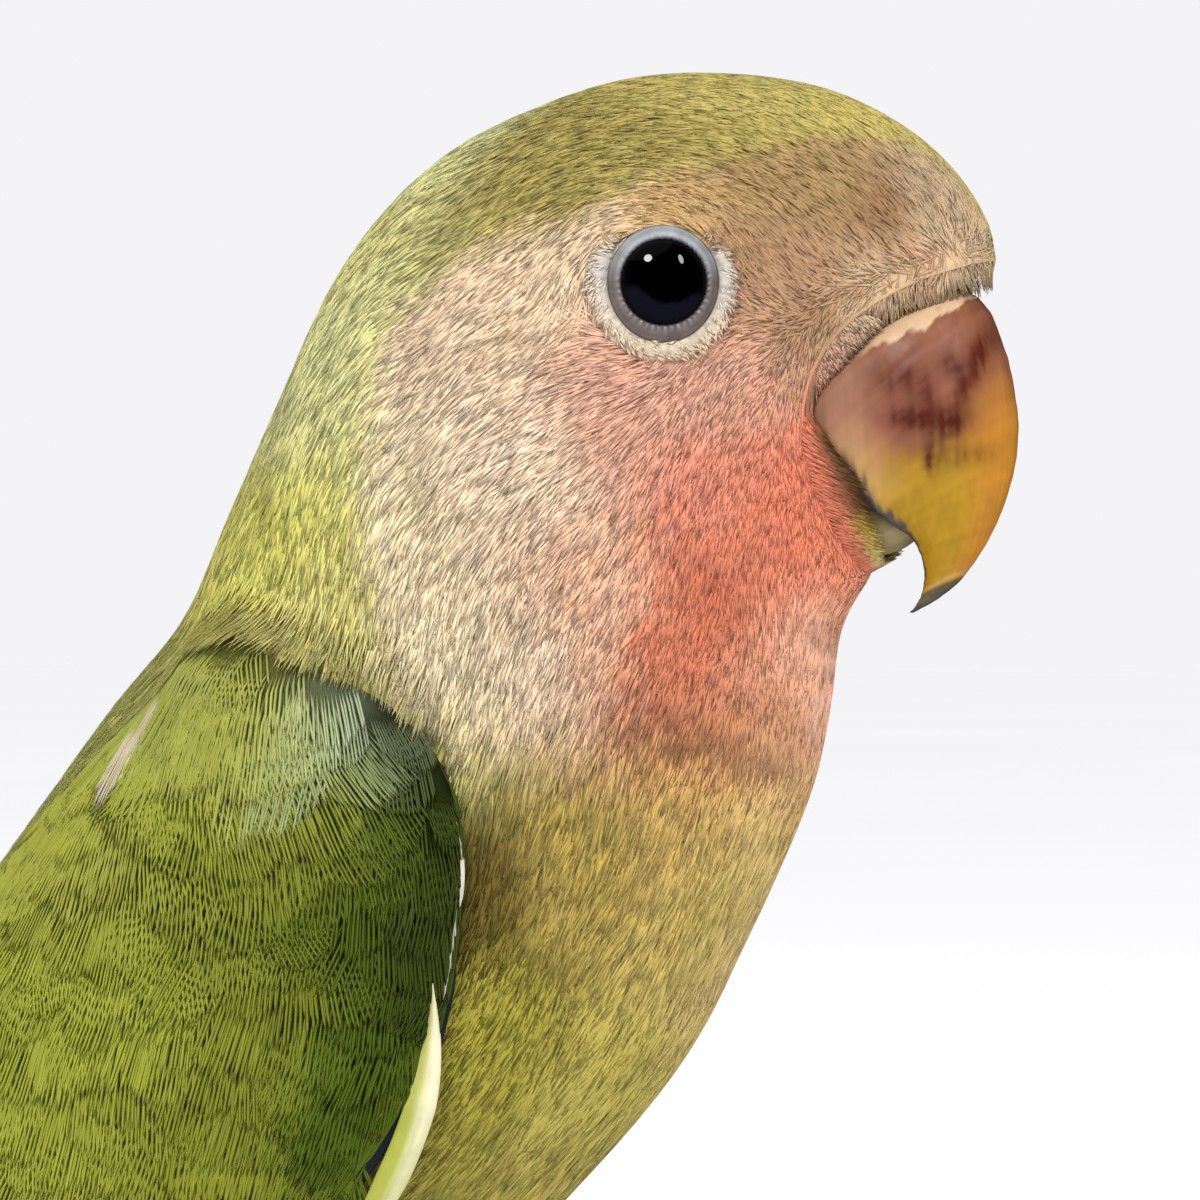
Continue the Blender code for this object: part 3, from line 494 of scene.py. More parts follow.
def walk(surface, ring, angle, turn, curl, length, stations=HAIR):
    """Rings and angles at the stations of strands that leave roots on a surface."""
    ring_out, angle_out = heading(surface, ring, angle, turn)
    ring_end, angle_end = heading(surface, ring, angle, turn + curl)
    t = stations[None, :]
    reach = length[:, None]
    rings = ring[:, None] + reach * (ring_out[:, None] * t + (ring_end - ring_out)[:, None] * t**2 / 2)
    angles = angle[:, None] + reach * (angle_out[:, None] * t + (angle_end - angle_out)[:, None] * t**2 / 2)
    return rings, angles


def ease_over_wing(ring, angle):
    """Height that feathers gain to clear the wing's front and upper edge, and between the wings."""
    side = folded(angle)
    upper = upper_edge(ring)
    inside_ring = np.clip(ring, WING_FRONT + 0.25, 19.4)
    inside = np.clip(side, upper_edge(inside_ring) + 4.0, lower_edge(inside_ring) - 2.0)
    share = smooth(ring, WING_FRONT - 0.55, WING_FRONT + 0.15) * smooth(side, upper - 9.0, upper + 3.0)
    mantle = smooth(ring, 11.5, 12.8) * smooth(ring, 16.5, 14.5) * smooth(side, 62.0, 40.0)
    return np.maximum((wing_height(inside_ring, inside) + 0.15) * share, MANTLE_LIFT * mantle)


def grow(surface, ring, angle, turn, curl, length, lifts, over_wing=True):
    """Centre lines of strands that leave roots on a surface, and its normals along them."""
    rings, angles = walk(surface, ring, angle, turn, curl, length)
    normal = frame_at(surface, rings, angles)[4]
    if over_wing:
        above = (folded(angle) < lower_edge(ring) - 1.0) & (ring < 19.0)
        near = np.where(above[:, None], ease_over_wing(rings, angles), 0.0)
        lifts = lifts + near * (0.25 + 0.75 * HAIR[None, :] ** 0.5)
        lifts = lifts - np.interp(folded(angles), *BILL_DIP.T) * smooth(rings, 0.25, -0.35)
    return surface(rings, angles) + normal * lifts[..., None], normal


def strand_faces(sections):
    """Quads and triangles of one strand, whose vertices are its root, three-cornered sections and its tip."""
    sides = ((1, 2), (2, 3), (3, 1))
    quads = [(a + 3 * row, b + 3 * row, b + 3 * row + 3, a + 3 * row + 3)
             for row in range(sections - 1) for a, b in sides]
    last = 3 * (sections - 1)
    ends = [(0, b, a) for a, b in sides] + [(a + last, b + last, last + 4) for a, b in sides]
    return [np.array(group) for group in (quads, ends) if group]


def strand_mesh(name, paths, normals, width, root_paint, tip_paint, patch, ridge=0.22, stations=HAIR,
                mirror=1.0):
    """One piece of many closed strands. patch is each strand's place on the skin's unwrap."""
    flip = (1.0, mirror, 1.0)
    paths, normals = paths * flip, normals * flip
    ridge = np.broadcast_to(ridge, width.shape)
    sections = len(stations) - 2
    ahead = unit(paths[:, 2:] - paths[:, :-2])
    up, middle = normals[:, 1:-1], paths[:, 1:-1]
    half = unit(np.cross(ahead, up)) * (width / 2)[:, None, None]
    ridges = middle + up * (width * ridge)[:, None, None]
    corners = np.stack([middle - half, ridges, middle + half], axis=2).reshape(len(paths), -1, 3)
    points = np.concatenate([paths[:, :1], corners, paths[:, -1:]], axis=1)
    first = np.arange(len(paths))[:, None, None] * points.shape[1]
    faces = [(group[None] + first).reshape(-1, group.shape[1]) for group in strand_faces(sections)]
    along = np.concatenate([stations[:1], np.repeat(stations[1:-1], 3), stations[-1:]])
    across = np.concatenate([[0.0], np.tile([-1.0, 0.0, 1.0], sections), [0.0]])
    paint = blend(root_paint[:, None], tip_paint[:, None], along[None, :, None])
    uv = patch[:, None, :] + np.stack([across * 0.0014, (along - 0.5) * 0.0028], axis=-1)[None]
    return mesh_object(name, points.reshape(-1, 3), faces, paint.reshape(-1, 3), uv.reshape(-1, 2))


def split_tufts(rng, surface, ring, angle, side_spread, long_spread):
    """Roots of the strands of each tuft, and which tuft each one belongs to."""
    owner = np.repeat(np.arange(len(ring)), TUFT)
    sideways = rng.normal(0.0, side_spread, len(owner))
    ahead = rng.normal(0.0, long_spread, len(owner))
    ring_a, angle_a = heading(surface, ring, angle, 0.0)
    ring_s, angle_s = heading(surface, ring, angle, 90.0)
    strand_ring = ring[owner] + ring_a[owner] * ahead + ring_s[owner] * sideways
    strand_angle = angle[owner] + angle_a[owner] * ahead + angle_s[owner] * sideways
    return owner, strand_ring, strand_angle, sideways


def picked(chosen, *columns):
    """The chosen rows of each column."""
    return [column[chosen] for column in columns]


def on_wing(ring, angle, front, rear, above, below):
    """True on the folded wing, from rings behind its front to the ring rear, and degrees inside its edges."""
    side = folded(angle)
    inside = (ring > WING_FRONT + front) & (ring < rear)
    return inside & (side > upper_edge(ring) + above) & (side < lower_edge(ring) - below)


def covered(ring, angle):
    """True where no feather is rooted: under the folded wing or inside the lids."""
    middle, front, up, _ = eye_axes(1.0)
    away = plumage(ring, folded(angle)) - middle
    sweep = np.mod(np.degrees(np.arctan2(away @ up, away @ front)), 360.0)
    in_lids = np.linalg.norm(away, axis=-1) < np.interp(sweep, *LID_CLEAR.T)
    return on_wing(ring, angle, 0.45, 18.2, 7.0, 8.0) | in_lids


def over_wing_front(ring, angle, turn, curl, length):
    """True for strands rooted ahead of the wing that would run far over it."""
    rings, angles = walk(open_plumage, ring, angle, turn, curl, length)
    return on_wing(rings, angles, 0.22, 18.0, 4.0, 3.0).any(axis=1)


def plumage_coat(shader):
    """The strands of head, neck, breast, belly, back and rump, in pieces from the bill backwards."""
    rng = np.random.default_rng(SEED)
    ring, angle = scatter(rng, plumage, 0.02, 23.2, lambda place: coat_sizes(place)[0])
    owner, ring_s, angle_s, sideways = split_tufts(rng, plumage, ring, angle, 0.20, 0.5)
    keep = ~covered(ring_s, angle_s) & (ring_s > 0.0) & (ring_s < 23.4)
    owner, ring_s, angle_s, sideways = picked(keep, owner, ring_s, angle_s, sideways)

    def by_tuft(spread):
        """A stray for each tuft, shared by its strands."""
        return rng.normal(0.0, spread, len(ring))[owner]

    def by_strand(spread):
        """A stray for each strand."""
        return rng.normal(0.0, spread, len(owner))

    turn = lie_of_coat(ring, angle)[owner] + by_tuft(3.5) + by_strand(2.0) - 8.0 * sideways
    curl = by_tuft(7.0) + by_strand(3.0)
    _, length, width, depth = coat_sizes(ring_s)
    length = length * rng.uniform(0.8, 1.2, len(ring))[owner] * rng.uniform(0.85, 1.1, len(owner))
    length = length * (1 + 0.5 * smooth(ring_s, 0.7, 0.3) * smooth(folded(angle_s), 112.0, 96.0))
    forward = np.maximum(-heading(open_plumage, ring_s, angle_s, turn)[0], 1e-3)
    length = np.minimum(length, (ring_s + np.interp(folded(angle_s), *FRINGE.T)) / forward)
    relief = relief_at(plumage(ring_s, folded(angle_s)))
    width = width * rng.uniform(0.8, 1.2, len(owner)) * (1.35 - 0.4 * relief)
    clear = ~over_wing_front(ring_s, angle_s, turn, curl, length)
    owner, ring_s, angle_s, turn, curl = picked(clear, owner, ring_s, angle_s, turn, curl)
    length, width, depth, relief = picked(clear, length, width, depth, relief)
    rise = (by_tuft(0.07) + by_strand(0.09)) * relief
    lifts = np.array([-1.0, -0.3, -0.1]) + rise[:, None] * np.array([0.0, 0.8, 1.2])
    lifts = lifts * (depth * pressed(relief))[:, None]
    colour = coat_colours(ring_s, angle_s, by_tuft(0.4))
    shade = (by_tuft(0.06) + by_strand(0.11)) * (0.25 + 0.75 * relief)
    shade = 1.0 + shade + 0.03 * ripple(plumage(ring_s, folded(angle_s)), 4.0, 8)
    warmth = 1 + by_tuft(0.03)[:, None] * np.array([1.0, 0.2, -1.0])
    colour = colour * np.clip(shade, 0.6, 1.4)[:, None] * warmth
    order = np.argsort(ring_s, kind="stable")
    for number, start in enumerate(range(0, len(order), PIECE_STRANDS)):
        pick = order[start:start + PIECE_STRANDS]
        paths, normals = grow(open_plumage, *picked(pick, ring_s, angle_s, turn, curl, length, lifts))
        patch = skin_uv(ring_s[pick], angle_s[pick])
        piece = strand_mesh(f"coat_{number + 1}", paths, normals, width[pick], deepened(colour[pick]),
                            colour[pick] * TIP_SHADE, patch, 0.06 + 0.18 * relief[pick])
        middle = np.median(ring_s[pick])
        dress(piece, shader, next(slot for slot, end in SLOT_ENDS if middle < end))


# Feathers of the gape and chin that run out over the root of the bill: where each row starts on the
# plumage, as ring and angle, and where its outer strands end on the bill, as a point.
GAPE_ROWS = np.array([
    (0.30, 66.0, 56.7, -4.75, 93.9), (0.30, 74.0, 55.6, -4.95, 92.9), (0.30, 82.0, 54.5, -5.1, 91.7),
    (0.30, 90.0, 53.5, -5.2, 90.5), (0.30, 98.0, 52.6, -5.2, 89.2), (0.30, 104.0, 53.1, -5.3, 88.0),
    (0.30, 111.0, 53.9, -5.35, 86.7), (0.30, 119.0, 54.8, -5.2, 85.4), (0.30, 127.0, 55.3, -4.6, 84.2),
    (0.30, 136.0, 55.5, -3.9, 83.1), (0.30, 146.0, 55.7, -3.3, 82.1), (0.30, 156.0, 55.8, -2.5, 81.3),
    (0.28, 168.0, 55.7, -1.3, 80.8), (0.26, 180.0, 55.6, 0.0, 80.7),
])
# Colours of the gape's feathers by row: at their roots and at their tips.
GAPE_SHADES = [
    (0.0, "fringe", "fringe"), (2.5, "under_eye", "under_eye"), (4.2, "coral_deep", "gape"),
    (5.5, "coral_deep", "bristle"), (8.2, "coral_deep", "bristle"), (9.4, "coral_deep", "chin"),
    (11.2, "coral_deep", "chin_tip"), (13.0, "coral_deep", "chin_tip"),
]
GAPE_STRANDS = 5200


def gape_colours(row, column):
    """Colours of the gape's feathers by row, at their roots for column 1 and at their tips for column 2."""
    steps = [entry[0] for entry in GAPE_SHADES]
    shades = np.array([FEATHER[entry[column]] for entry in GAPE_SHADES])
    return np.stack([np.interp(row, steps, channel) for channel in shades.T], axis=1)


def gape_feathers(shader):
    """Soft short strands that cover the recess between the face and the bill's sides."""
    rng = np.random.default_rng(SEED + 31)
    last_row = len(GAPE_ROWS) - 1.0
    for name, mirror in SIDES:
        row = rng.uniform(0.0, last_row, GAPE_STRANDS)
        start = rng.uniform(-0.1, 0.72, GAPE_STRANDS)
        layer = rng.uniform(0.0, 1.0, GAPE_STRANDS) ** 2
        reach = rng.uniform(0.42, 0.6, GAPE_STRANDS)
        slide = rng.normal(0.35, 0.12, GAPE_STRANDS)
        paths = []
        for step, sink in zip(HAIR, (0.22, 0.05, 0.02)):
            spot = between(GAPE_ROWS, np.clip(row + slide * step, 0.0, last_row))
            base = plumage(spot[:, 0], spot[:, 1]) - slopes_at(spot[:, 0], spot[:, 1])[2] * 0.2
            share = (start + reach * step)[:, None]
            swell = 0.12 * np.clip(1 - (2 * share - 1) ** 2, 0.0, 1.0)
            outwards = np.array([0.3, -1.0, 0.0]) * (swell - sink - 0.55 * layer[:, None])
            paths.append(blend(base, spot[:, 2:], share) + outwards)
        paths = np.stack(paths, axis=1)
        normals = np.broadcast_to(unit(np.array([0.45, -1.0, -0.1])), paths.shape)
        width = rng.uniform(0.09, 0.13, GAPE_STRANDS)
        shade = rng.normal(1.0, 0.1, (GAPE_STRANDS, 1))
        colour = blend(gape_colours(row, 1), gape_colours(row, 2), smooth(start, 0.12, 0.6)[:, None]) * shade
        spot = between(GAPE_ROWS, row)
        patch = skin_uv(spot[:, 0], spot[:, 1], mirror)
        piece = strand_mesh(f"coat_gape_{name}", paths, normals, width, colour, colour, patch, mirror=mirror)
        dress(piece, shader, "face")


# Materials.

BARB_PITCH = 0.3        # millimetres from barb to barb of a vane


def new_shader(name, roughness, gloss=0.3):
    """A Principled material and its nodes."""
    made = bpy.data.materials.new(name)
    made.use_nodes = True
    tree = made.node_tree
    principled = tree.nodes["Principled BSDF"]
    principled.inputs["Roughness"].default_value = roughness
    principled.inputs["Specular IOR Level"].default_value = gloss
    return made, tree, principled


def noise(tree, scale):
    """A noise texture over the object's own coordinates."""
    place = tree.nodes.new("ShaderNodeTexCoord")
    texture = tree.nodes.new("ShaderNodeTexNoise")
    texture.inputs["Scale"].default_value = scale
    texture.inputs["Detail"].default_value = 3.0
    tree.links.new(place.outputs["Object"], texture.inputs["Vector"])
    return texture.outputs["Fac"]


def ramp(tree, value, stops):
    """A colour ramp over a value. stops are positions and linear colours."""
    node = tree.nodes.new("ShaderNodeValToRGB")
    while len(node.color_ramp.elements) < len(stops):
        node.color_ramp.elements.new(0.5)
    for element, (position, colour) in zip(node.color_ramp.elements, stops):
        element.position = position
        element.color = (*colour, 1.0)
    tree.links.new(value, node.inputs["Fac"])
    return node.outputs["Color"]


def tint(tree, base, factor):
    """One colour multiplied by another."""
    node = tree.nodes.new("ShaderNodeMix")
    node.data_type = "RGBA"
    node.blend_type = "MULTIPLY"
    node.inputs["Factor"].default_value = 1.0
    tree.links.new(base, node.inputs["A"])
    tree.links.new(factor, node.inputs["B"])
    return node.outputs["Result"]


def bump(tree, principled, height, distance, strength=1.0):
    """Makes a material's surface rough by a height over a distance in metres."""
    node = tree.nodes.new("ShaderNodeBump")
    node.inputs["Distance"].default_value = distance
    node.inputs["Strength"].default_value = strength
    tree.links.new(height, node.inputs["Height"])
    tree.links.new(node.outputs["Normal"], principled.inputs["Normal"])


def painted(tree):
    """The colours painted on the mesh's own points."""
    node = tree.nodes.new("ShaderNodeAttribute")
    node.attribute_name = "Coat"
    return node.outputs["Color"]


def feather_shader(name, roughness=0.62, gloss=0.22, scale=900.0, depth=0.00003):
    """Painted feather, mottled and slightly rough at the scale of barbs."""
    made, tree, principled = new_shader(name, roughness, gloss)
    mottle = ramp(tree, noise(tree, scale), [(0.3, (0.90, 0.90, 0.90)), (0.7, (1.07, 1.07, 1.06))])
    tree.links.new(tint(tree, painted(tree), mottle), principled.inputs["Base Color"])
    bump(tree, principled, noise(tree, scale * 4.0), depth)
    return made


def vane_shader(name):
    """A feather's vane: slanting barbs, laid out by the map that measures it in millimetres."""
    made, tree, principled = new_shader(name, 0.5)
    uv = tree.nodes.new("ShaderNodeUVMap")
    uv.uv_map = "Vane"
    split = tree.nodes.new("ShaderNodeSeparateXYZ")
    tree.links.new(uv.outputs["UV"], split.inputs["Vector"])

    def step(operation, first, second):
        """One sum over sockets or numbers."""
        node = tree.nodes.new("ShaderNodeMath")
        node.operation = operation
        for socket, value in zip(node.inputs, (first, second)):
            if isinstance(value, (int, float)):
                socket.default_value = value
            elif value is not None:
                tree.links.new(value, socket)
        return node.outputs[0]

    across = step("ABSOLUTE", split.outputs["X"], None)
    wander = step("MULTIPLY", noise(tree, 500.0), BARB_PITCH * 1.2)
    slant = step("SUBTRACT", split.outputs["Y"], step("MULTIPLY", across, 1.3))
    phase = step("MULTIPLY", step("ADD", slant, wander), 2 * math.pi / BARB_PITCH)
    barb = step("ADD", step("MULTIPLY", step("SINE", phase, None), 0.5), 0.5)
    # Barbs lighter on their crests and darker in the grooves that the bump lowers: partly the vane's own lines,
    # partly painted shade.
    lines = ramp(tree, barb, [(0.0, (0.52, 0.52, 0.50)), (0.55, (1.0, 1.0, 1.0)), (1.0, (1.12, 1.12, 1.08))])
    mottle = ramp(tree, noise(tree, 420.0), [(0.3, (0.84, 0.84, 0.84)), (0.7, (1.1, 1.1, 1.1))])
    tree.links.new(tint(tree, tint(tree, painted(tree), lines), mottle), principled.inputs["Base Color"])
    bump(tree, principled, barb, 0.00006, 0.5)
    return made


# Skin under the coat.

def skin_depth(points, ring):
    """How far the skin lies inside the plumage: as deep as the roots of the strands there."""
    relief = relief_at(points.reshape(-1, 3)).reshape(ring.shape)
    return coat_sizes(ring)[3] * pressed(relief)


def grid_faces(rows, columns, wrap=True):
    """Quads of a grid of rows of points, joined round if wrap is set."""
    row = np.arange(rows - 1)[:, None]
    column = np.arange(columns if wrap else columns - 1)[None, :]
    after = (column + 1) % columns
    a, b = row * columns + column, row * columns + after
    return np.stack([a, b, b + columns, a + columns], axis=-1).reshape(-1, 4)


def slab_faces(rows, columns):
    """Quads of a thin slab between two grids of points, the upper one first."""
    size = rows * columns
    sheet = grid_faces(rows, columns, wrap=False)
    rim = np.concatenate([np.arange(rows) * columns, (rows - 1) * columns + np.arange(1, columns),
                          np.arange(rows - 2, -1, -1) * columns + columns - 1, np.arange(columns - 2, 0, -1)])
    after = np.roll(rim, -1)
    edge = np.stack([rim, after, after + size, rim + size], axis=-1)
    return np.concatenate([sheet, sheet[:, ::-1] + size, edge])


def cap_faces(first, count, centre, outward_last):
    """Triangles from a ring of points to a centre point."""
    here = first + np.arange(count)
    after = first + (np.arange(count) + 1) % count
    middle = np.full(count, centre)
    order = (here, after, middle) if outward_last else (after, here, middle)
    return np.stack(order, axis=-1)


def tube(grid):
    """Points and faces of a closed tube from rows of points that go round."""
    rows, columns = grid.shape[:2]
    points = np.concatenate([grid.reshape(-1, 3), [grid[0].mean(0), grid[-1].mean(0)]])
    faces = [grid_faces(rows, columns), cap_faces(0, columns, rows * columns, False),
             cap_faces((rows - 1) * columns, columns, rows * columns + 1, True)]
    return points, faces


LEG_SIDE = 8.4
HIP, ANKLE, FOOT = (9.5, 33.0), (0.8, 18.6), (8.2, 5.6)
THIGH = np.array([(-0.1, 4.6), (0.1, 5.4), (0.35, 5.3), (0.6, 4.4), (0.8, 3.4), (0.93, 2.6), (0.99, 2.1)])


def thigh(place, angle):
    """Points of the right thigh: place runs from 0 at the hip to 6 at the ankle, angle 0 is its back."""
    place, angle = np.broadcast_arrays(np.asarray(place, float), np.asarray(angle, float))
    share, radius = np.moveaxis(between(THIGH, place), -1, 0)
    hip = np.array([HIP[0], -LEG_SIDE + 0.5, HIP[1]])
    ankle = np.array([ANKLE[0], -LEG_SIDE, ANKLE[1]])
    down = unit(ankle - hip)
    side = np.array([0.0, -1.0, 0.0])
    front = unit(np.cross(side, down))
    side = np.cross(down, front)
    turn = np.radians(angle)[..., None]
    middle = hip + (ankle - hip) * share[..., None]
    return middle + (side * np.sin(turn) - front * np.cos(turn)) * radius[..., None]


def make_skin():
    """One closed skin of head, neck, body and thighs, inside the solids by the coat's depth."""
    rings = np.concatenate([np.arange(0.12, 8.0, 0.16), np.arange(8.0, 23.0, 0.22), [23.0]])
    angles = np.arange(0.0, 360.0, 3.75)
    ring, angle = np.meshgrid(rings, angles, indexing="ij")
    surface = plumage(ring, angle)
    grid = surface - slopes_at(ring, angle)[2] * skin_depth(surface, ring)[..., None]
    points, faces = tube(grid)
    points[-2] = points[-2] - (3.0, 0.0, -1.0)
    ends = [(rings[0], 0.0), (rings[-1], 0.0)]
    places = np.concatenate([np.stack([ring.ravel(), angle.ravel()], axis=1), ends])
    paint = deepened(coat_colours(places[:, 0], places[:, 1])) * SKIN_SHADE
    skin = mesh_object("skin", points, faces, paint, turn_out=True)
    marks = points.copy()
    for name, mirror in SIDES:
        spot, turn = np.meshgrid(np.linspace(0.0, 6.0, 25), np.arange(0.0, 360.0, 15.0), indexing="ij")
        rows = thigh(spot, turn)
        inward = rows - rows.mean(1, keepdims=True)
        rows = (rows - unit(inward) * 0.6) * (1.0, mirror, 1.0)
        leg_points, leg_faces = tube(rows)
        shade = np.tile(deepened(FEATHER["belly"]) * SKIN_SHADE, (len(leg_points), 1))
        cone = mesh_object(f"skin_thigh_{name}", leg_points, leg_faces, shade, turn_out=True)
        marks = np.concatenate([marks, leg_points])
        paint = np.concatenate([paint, shade])
        step = skin.modifiers.new(name, "BOOLEAN")
        step.operation = "UNION"
        step.solver = "MANIFOLD"
        step.object = cone
        graph = bpy.context.evaluated_depsgraph_get()
        merged = bpy.data.meshes.new_from_object(skin.evaluated_get(graph))
        skin.modifiers.clear()
        skin.data = merged
        bpy.data.objects.remove(cone, do_unlink=True)
    finish_skin(skin, marks, paint)
    return skin


def finish_skin(skin, marks, paint):
    """Gives the joined skin its markings back, from the nearest point of what it was joined from."""
    tree = KDTree(len(marks))
    for number, point in enumerate(to_scene(marks)):
        tree.insert(point, number)
    tree.balance()
    nearest = [tree.find(vert.co)[1] for vert in skin.data.vertices]
    paint_points(skin.data, paint[nearest])
    skin.data.shade_smooth()


def thigh_coat(shader):
    """The strands of both thighs."""
    rng = np.random.default_rng(SEED + 5)
    for name, mirror in SIDES:
        place, angle = scatter(rng, thigh, 0.35, 5.9, lambda spot: 2.0)
        owner, place_s, angle_s, sideways = split_tufts(rng, thigh, place, angle, 0.24, 0.4)
        keep = (place_s > 0.2) & (place_s < 6.0)
        owner, place_s, angle_s, sideways = picked(keep, owner, place_s, angle_s, sideways)
        turn = rng.normal(0.0, 8.0, len(place))[owner] - 14.0 * sideways
        curl = rng.normal(0.0, 12.0, len(place))[owner]
        length = np.interp(place_s, [0.0, 4.5, 6.0], [3.4, 2.8, 1.7]) * rng.uniform(0.8, 1.15, len(owner))
        width = 0.2 * rng.uniform(0.8, 1.2, len(owner))
        rise = rng.normal(0.0, 0.06, len(owner))
        lifts = np.array([-0.6, -0.2, -0.06]) + rise[:, None] * np.array([0.0, 0.8, 1.2])
        paths, normals = grow(thigh, place_s, angle_s, turn, curl, length, lifts, over_wing=False)
        colour = np.tile(FEATHER["belly"], (len(owner), 1))
        colour *= (rng.normal(1.0, 0.1, len(place))[owner] * rng.normal(1.0, 0.07, len(owner)))[:, None]
        patch = np.stack([0.02 + 0.96 * np.mod(angle_s, 360.0) / 360.0, 0.9 + 0.09 * place_s / 6.0], axis=-1)
        piece = strand_mesh(f"coat_thigh_{name}", paths, normals, width, deepened(colour), colour * TIP_SHADE,
                            patch, mirror=mirror)
        dress(piece, shader, "belly")


# Eyes and lids.

# Radius from the middle of the eye, and height over the face or, inside, over the eye.
LID_STATIONS = np.array([
    (2.28, 0.02), (2.38, 0.16), (2.46, 0.24), (2.58, 0.27), (2.74, 0.22), (2.88, 0.12),
    (2.98, 0.02), (3.06, 0.06), (3.18, 0.14), (3.34, 0.18), (3.55, 0.17), (3.80, 0.08),
    (4.05, -0.08), (4.3, -0.42), (4.5, -0.8),
])
# How far the ring reaches at turns from the front, up and round, beside its mean.
LID_WIDTHS = np.array([
    (0.0, 0.96), (45.0, 0.72), (90.0, 0.5), (135.0, 0.74), (165.0, 1.05), (200.0, 0.9),
    (270.0, 0.95), (315.0, 0.98), (360.0, 0.96),
])


def eye_axes(mirror):
    """The eye's opening: its middle, and unit vectors to its front, up and outwards."""
    middle, normal = plumage(EYE_RING, EYE_ANGLE), slopes_of(plumage, EYE_RING, EYE_ANGLE)[2]
    up = unit(np.array([0.0, 0.0, 1.0]) - normal * normal[2])
    front = np.cross(up, normal)
    return [vector * (1.0, mirror, 1.0) for vector in (middle, front, up, normal)]


def face_height(reach, sweep):
    """How far the face falls away from the plane of the eye's opening, round the eye."""
    middle, front, up, normal = eye_axes(1.0)
    rings = EYE_RING + np.linspace(-2.0, 2.0, 41)[:, None]
    angles = EYE_ANGLE + np.linspace(-32.0, 32.0, 41)[None, :]
    near = plumage(*np.broadcast_arrays(rings, angles)).reshape(-1, 3) - middle
    flat = np.stack([near @ front, near @ up], axis=1)
    terms = np.stack([flat[:, 0]**2, flat[:, 1]**2, flat[:, 0] * flat[:, 1], flat[:, 0], flat[:, 1]], axis=1)
    close = np.hypot(*flat.T) < 5.5
    fit = np.linalg.lstsq(terms[close], (near @ normal)[close], rcond=None)[0]
    x, y = reach * np.cos(sweep), reach * np.sin(sweep)
    return fit[0] * x**2 + fit[1] * y**2 + fit[2] * x * y + fit[3] * x + fit[4] * y


def round_eye(axes, radius, sweep, lift):
    """Points round an eye, a radius from its middle at turns sweep, lifted off the plane of its opening."""
    middle, front, up, normal = axes
    flat = (np.cos(sweep) * radius)[:, None] * front + (np.sin(sweep) * radius)[:, None] * up
    return middle + flat + lift[:, None] * normal


def make_lid(name, mirror, shader):
    """The bare, beaded rim and the wrinkled ring round one eye."""
    axes = eye_axes(mirror)
    turns = 270
    sweep = np.arange(turns) * 2 * math.pi / turns
    rng = np.random.default_rng(SEED + 9)
    beads = (0.5 + 0.5 * np.cos(sweep * 45)) ** 1.5
    folds = sum(rng.uniform(0.3, 1.0) * np.cos(sweep * wave + rng.uniform(0, 6.3))
                for wave in (23, 37, 52, 67))
    above = np.clip(np.sin(sweep), 0.0, 1.0)
    below = np.clip(-np.sin(sweep), 0.0, 1.0)
    reach_out = np.interp(np.degrees(sweep), *LID_WIDTHS.T) + 0.02 * folds
    sunk = math.sqrt(EYE_RADIUS**2 - EYE_OPENING**2)
    rows, paints = [], []
    rim_top, rim_low, bead = linear(150, 156, 162), linear(104, 93, 90), linear(180, 180, 186)
    pale, cream = linear(178, 170, 162), linear(190, 174, 146)
    rim = blend(rim_low, rim_top, above[:, None] ** 0.7)
    brow = smooth(np.sin(sweep), 0.35, 0.8)[:, None]
    outer = blend(blend(pale, cream, 0.7 * below[:, None]), linear(96, 84, 66), brow)
    patches = ripple(np.stack([np.cos(sweep) * 3.0, np.sin(sweep) * 3.0, 0 * sweep], axis=1), 1.1, 62)
    for station, (reach, height) in enumerate(LID_STATIONS):
        radius = reach + (0.10 * above**1.5 + 0.24 * below**2) * smooth(reach, 2.4, 2.9)
        if station > 6:
            radius = radius + (reach - 2.9) * (reach_out - 1.0)
        if station < 2:
            radius = radius + 0.05 * beads
        ball = np.sqrt(np.maximum(EYE_RADIUS**2 - radius**2, 0.1)) - sunk
        base = blend(face_height(radius, sweep), ball, smooth(radius, 3.2, 2.5))
        wrinkle = 0.06 * beads * (1 <= station <= 2)
        if 7 <= station <= 12:
            place = np.stack([np.cos(sweep) * radius * 1.5, np.sin(sweep) * radius * 1.5, 0 * sweep], axis=1)
            flakes = ripple(place, 0.75, 61)
            wrinkle = wrinkle + 0.025 * folds + 0.05 * flakes
        lift = base + height + wrinkle
        if station > 6:
            lift = lift - (height + 0.22) * brow[:, 0]
        rows.append(round_eye(axes, radius, sweep, lift))
        if station <= 6:
            # Paint by station across the bare rim: darkest beside the eye and in the dip before the wrinkled
            # ring, lightest on its crest, painted shade in the creases.
            dark = (0.12, 0.32, 0.72, 1.0, 0.72, 0.85, 0.3)[station]
            light = ((0.1, 0.7, 0.4, 0.1, 0.0, 0.0, 0.0)[station] * beads * (0.7 + 0.3 * folds))[:, None]
            worn = (1 + 0.12 * patches)[:, None]
            paints.append(blend(rim * worn * dark, bead, light))
        else:
            # Lighter on raised flakes and folds, darker between them: the pale flakes are the ring's own, the
            # darker hollows are painted shade.
            paints.append(outer * np.clip(0.88 + 0.09 * folds + 0.14 * flakes, 0.4, 1.15)[:, None])
    grid = np.array(rows)
    under = grid[::-1] - axes[3] * 0.5
    points = np.concatenate([grid, under]).reshape(-1, 3)
    count = 2 * len(rows)
    faces = grid_faces(count, turns)
    seam = grid_faces(2, turns)
    joined = np.where(seam >= turns, seam - turns, seam + (count - 1) * turns)
    faces = np.concatenate([faces, joined])
    paint = np.concatenate([np.array(paints), np.array(paints)[::-1]]).reshape(-1, 3)
    dress(mesh_object(name, points, [faces], paint, turn_out=True), shader, "face")


LASHES = 900
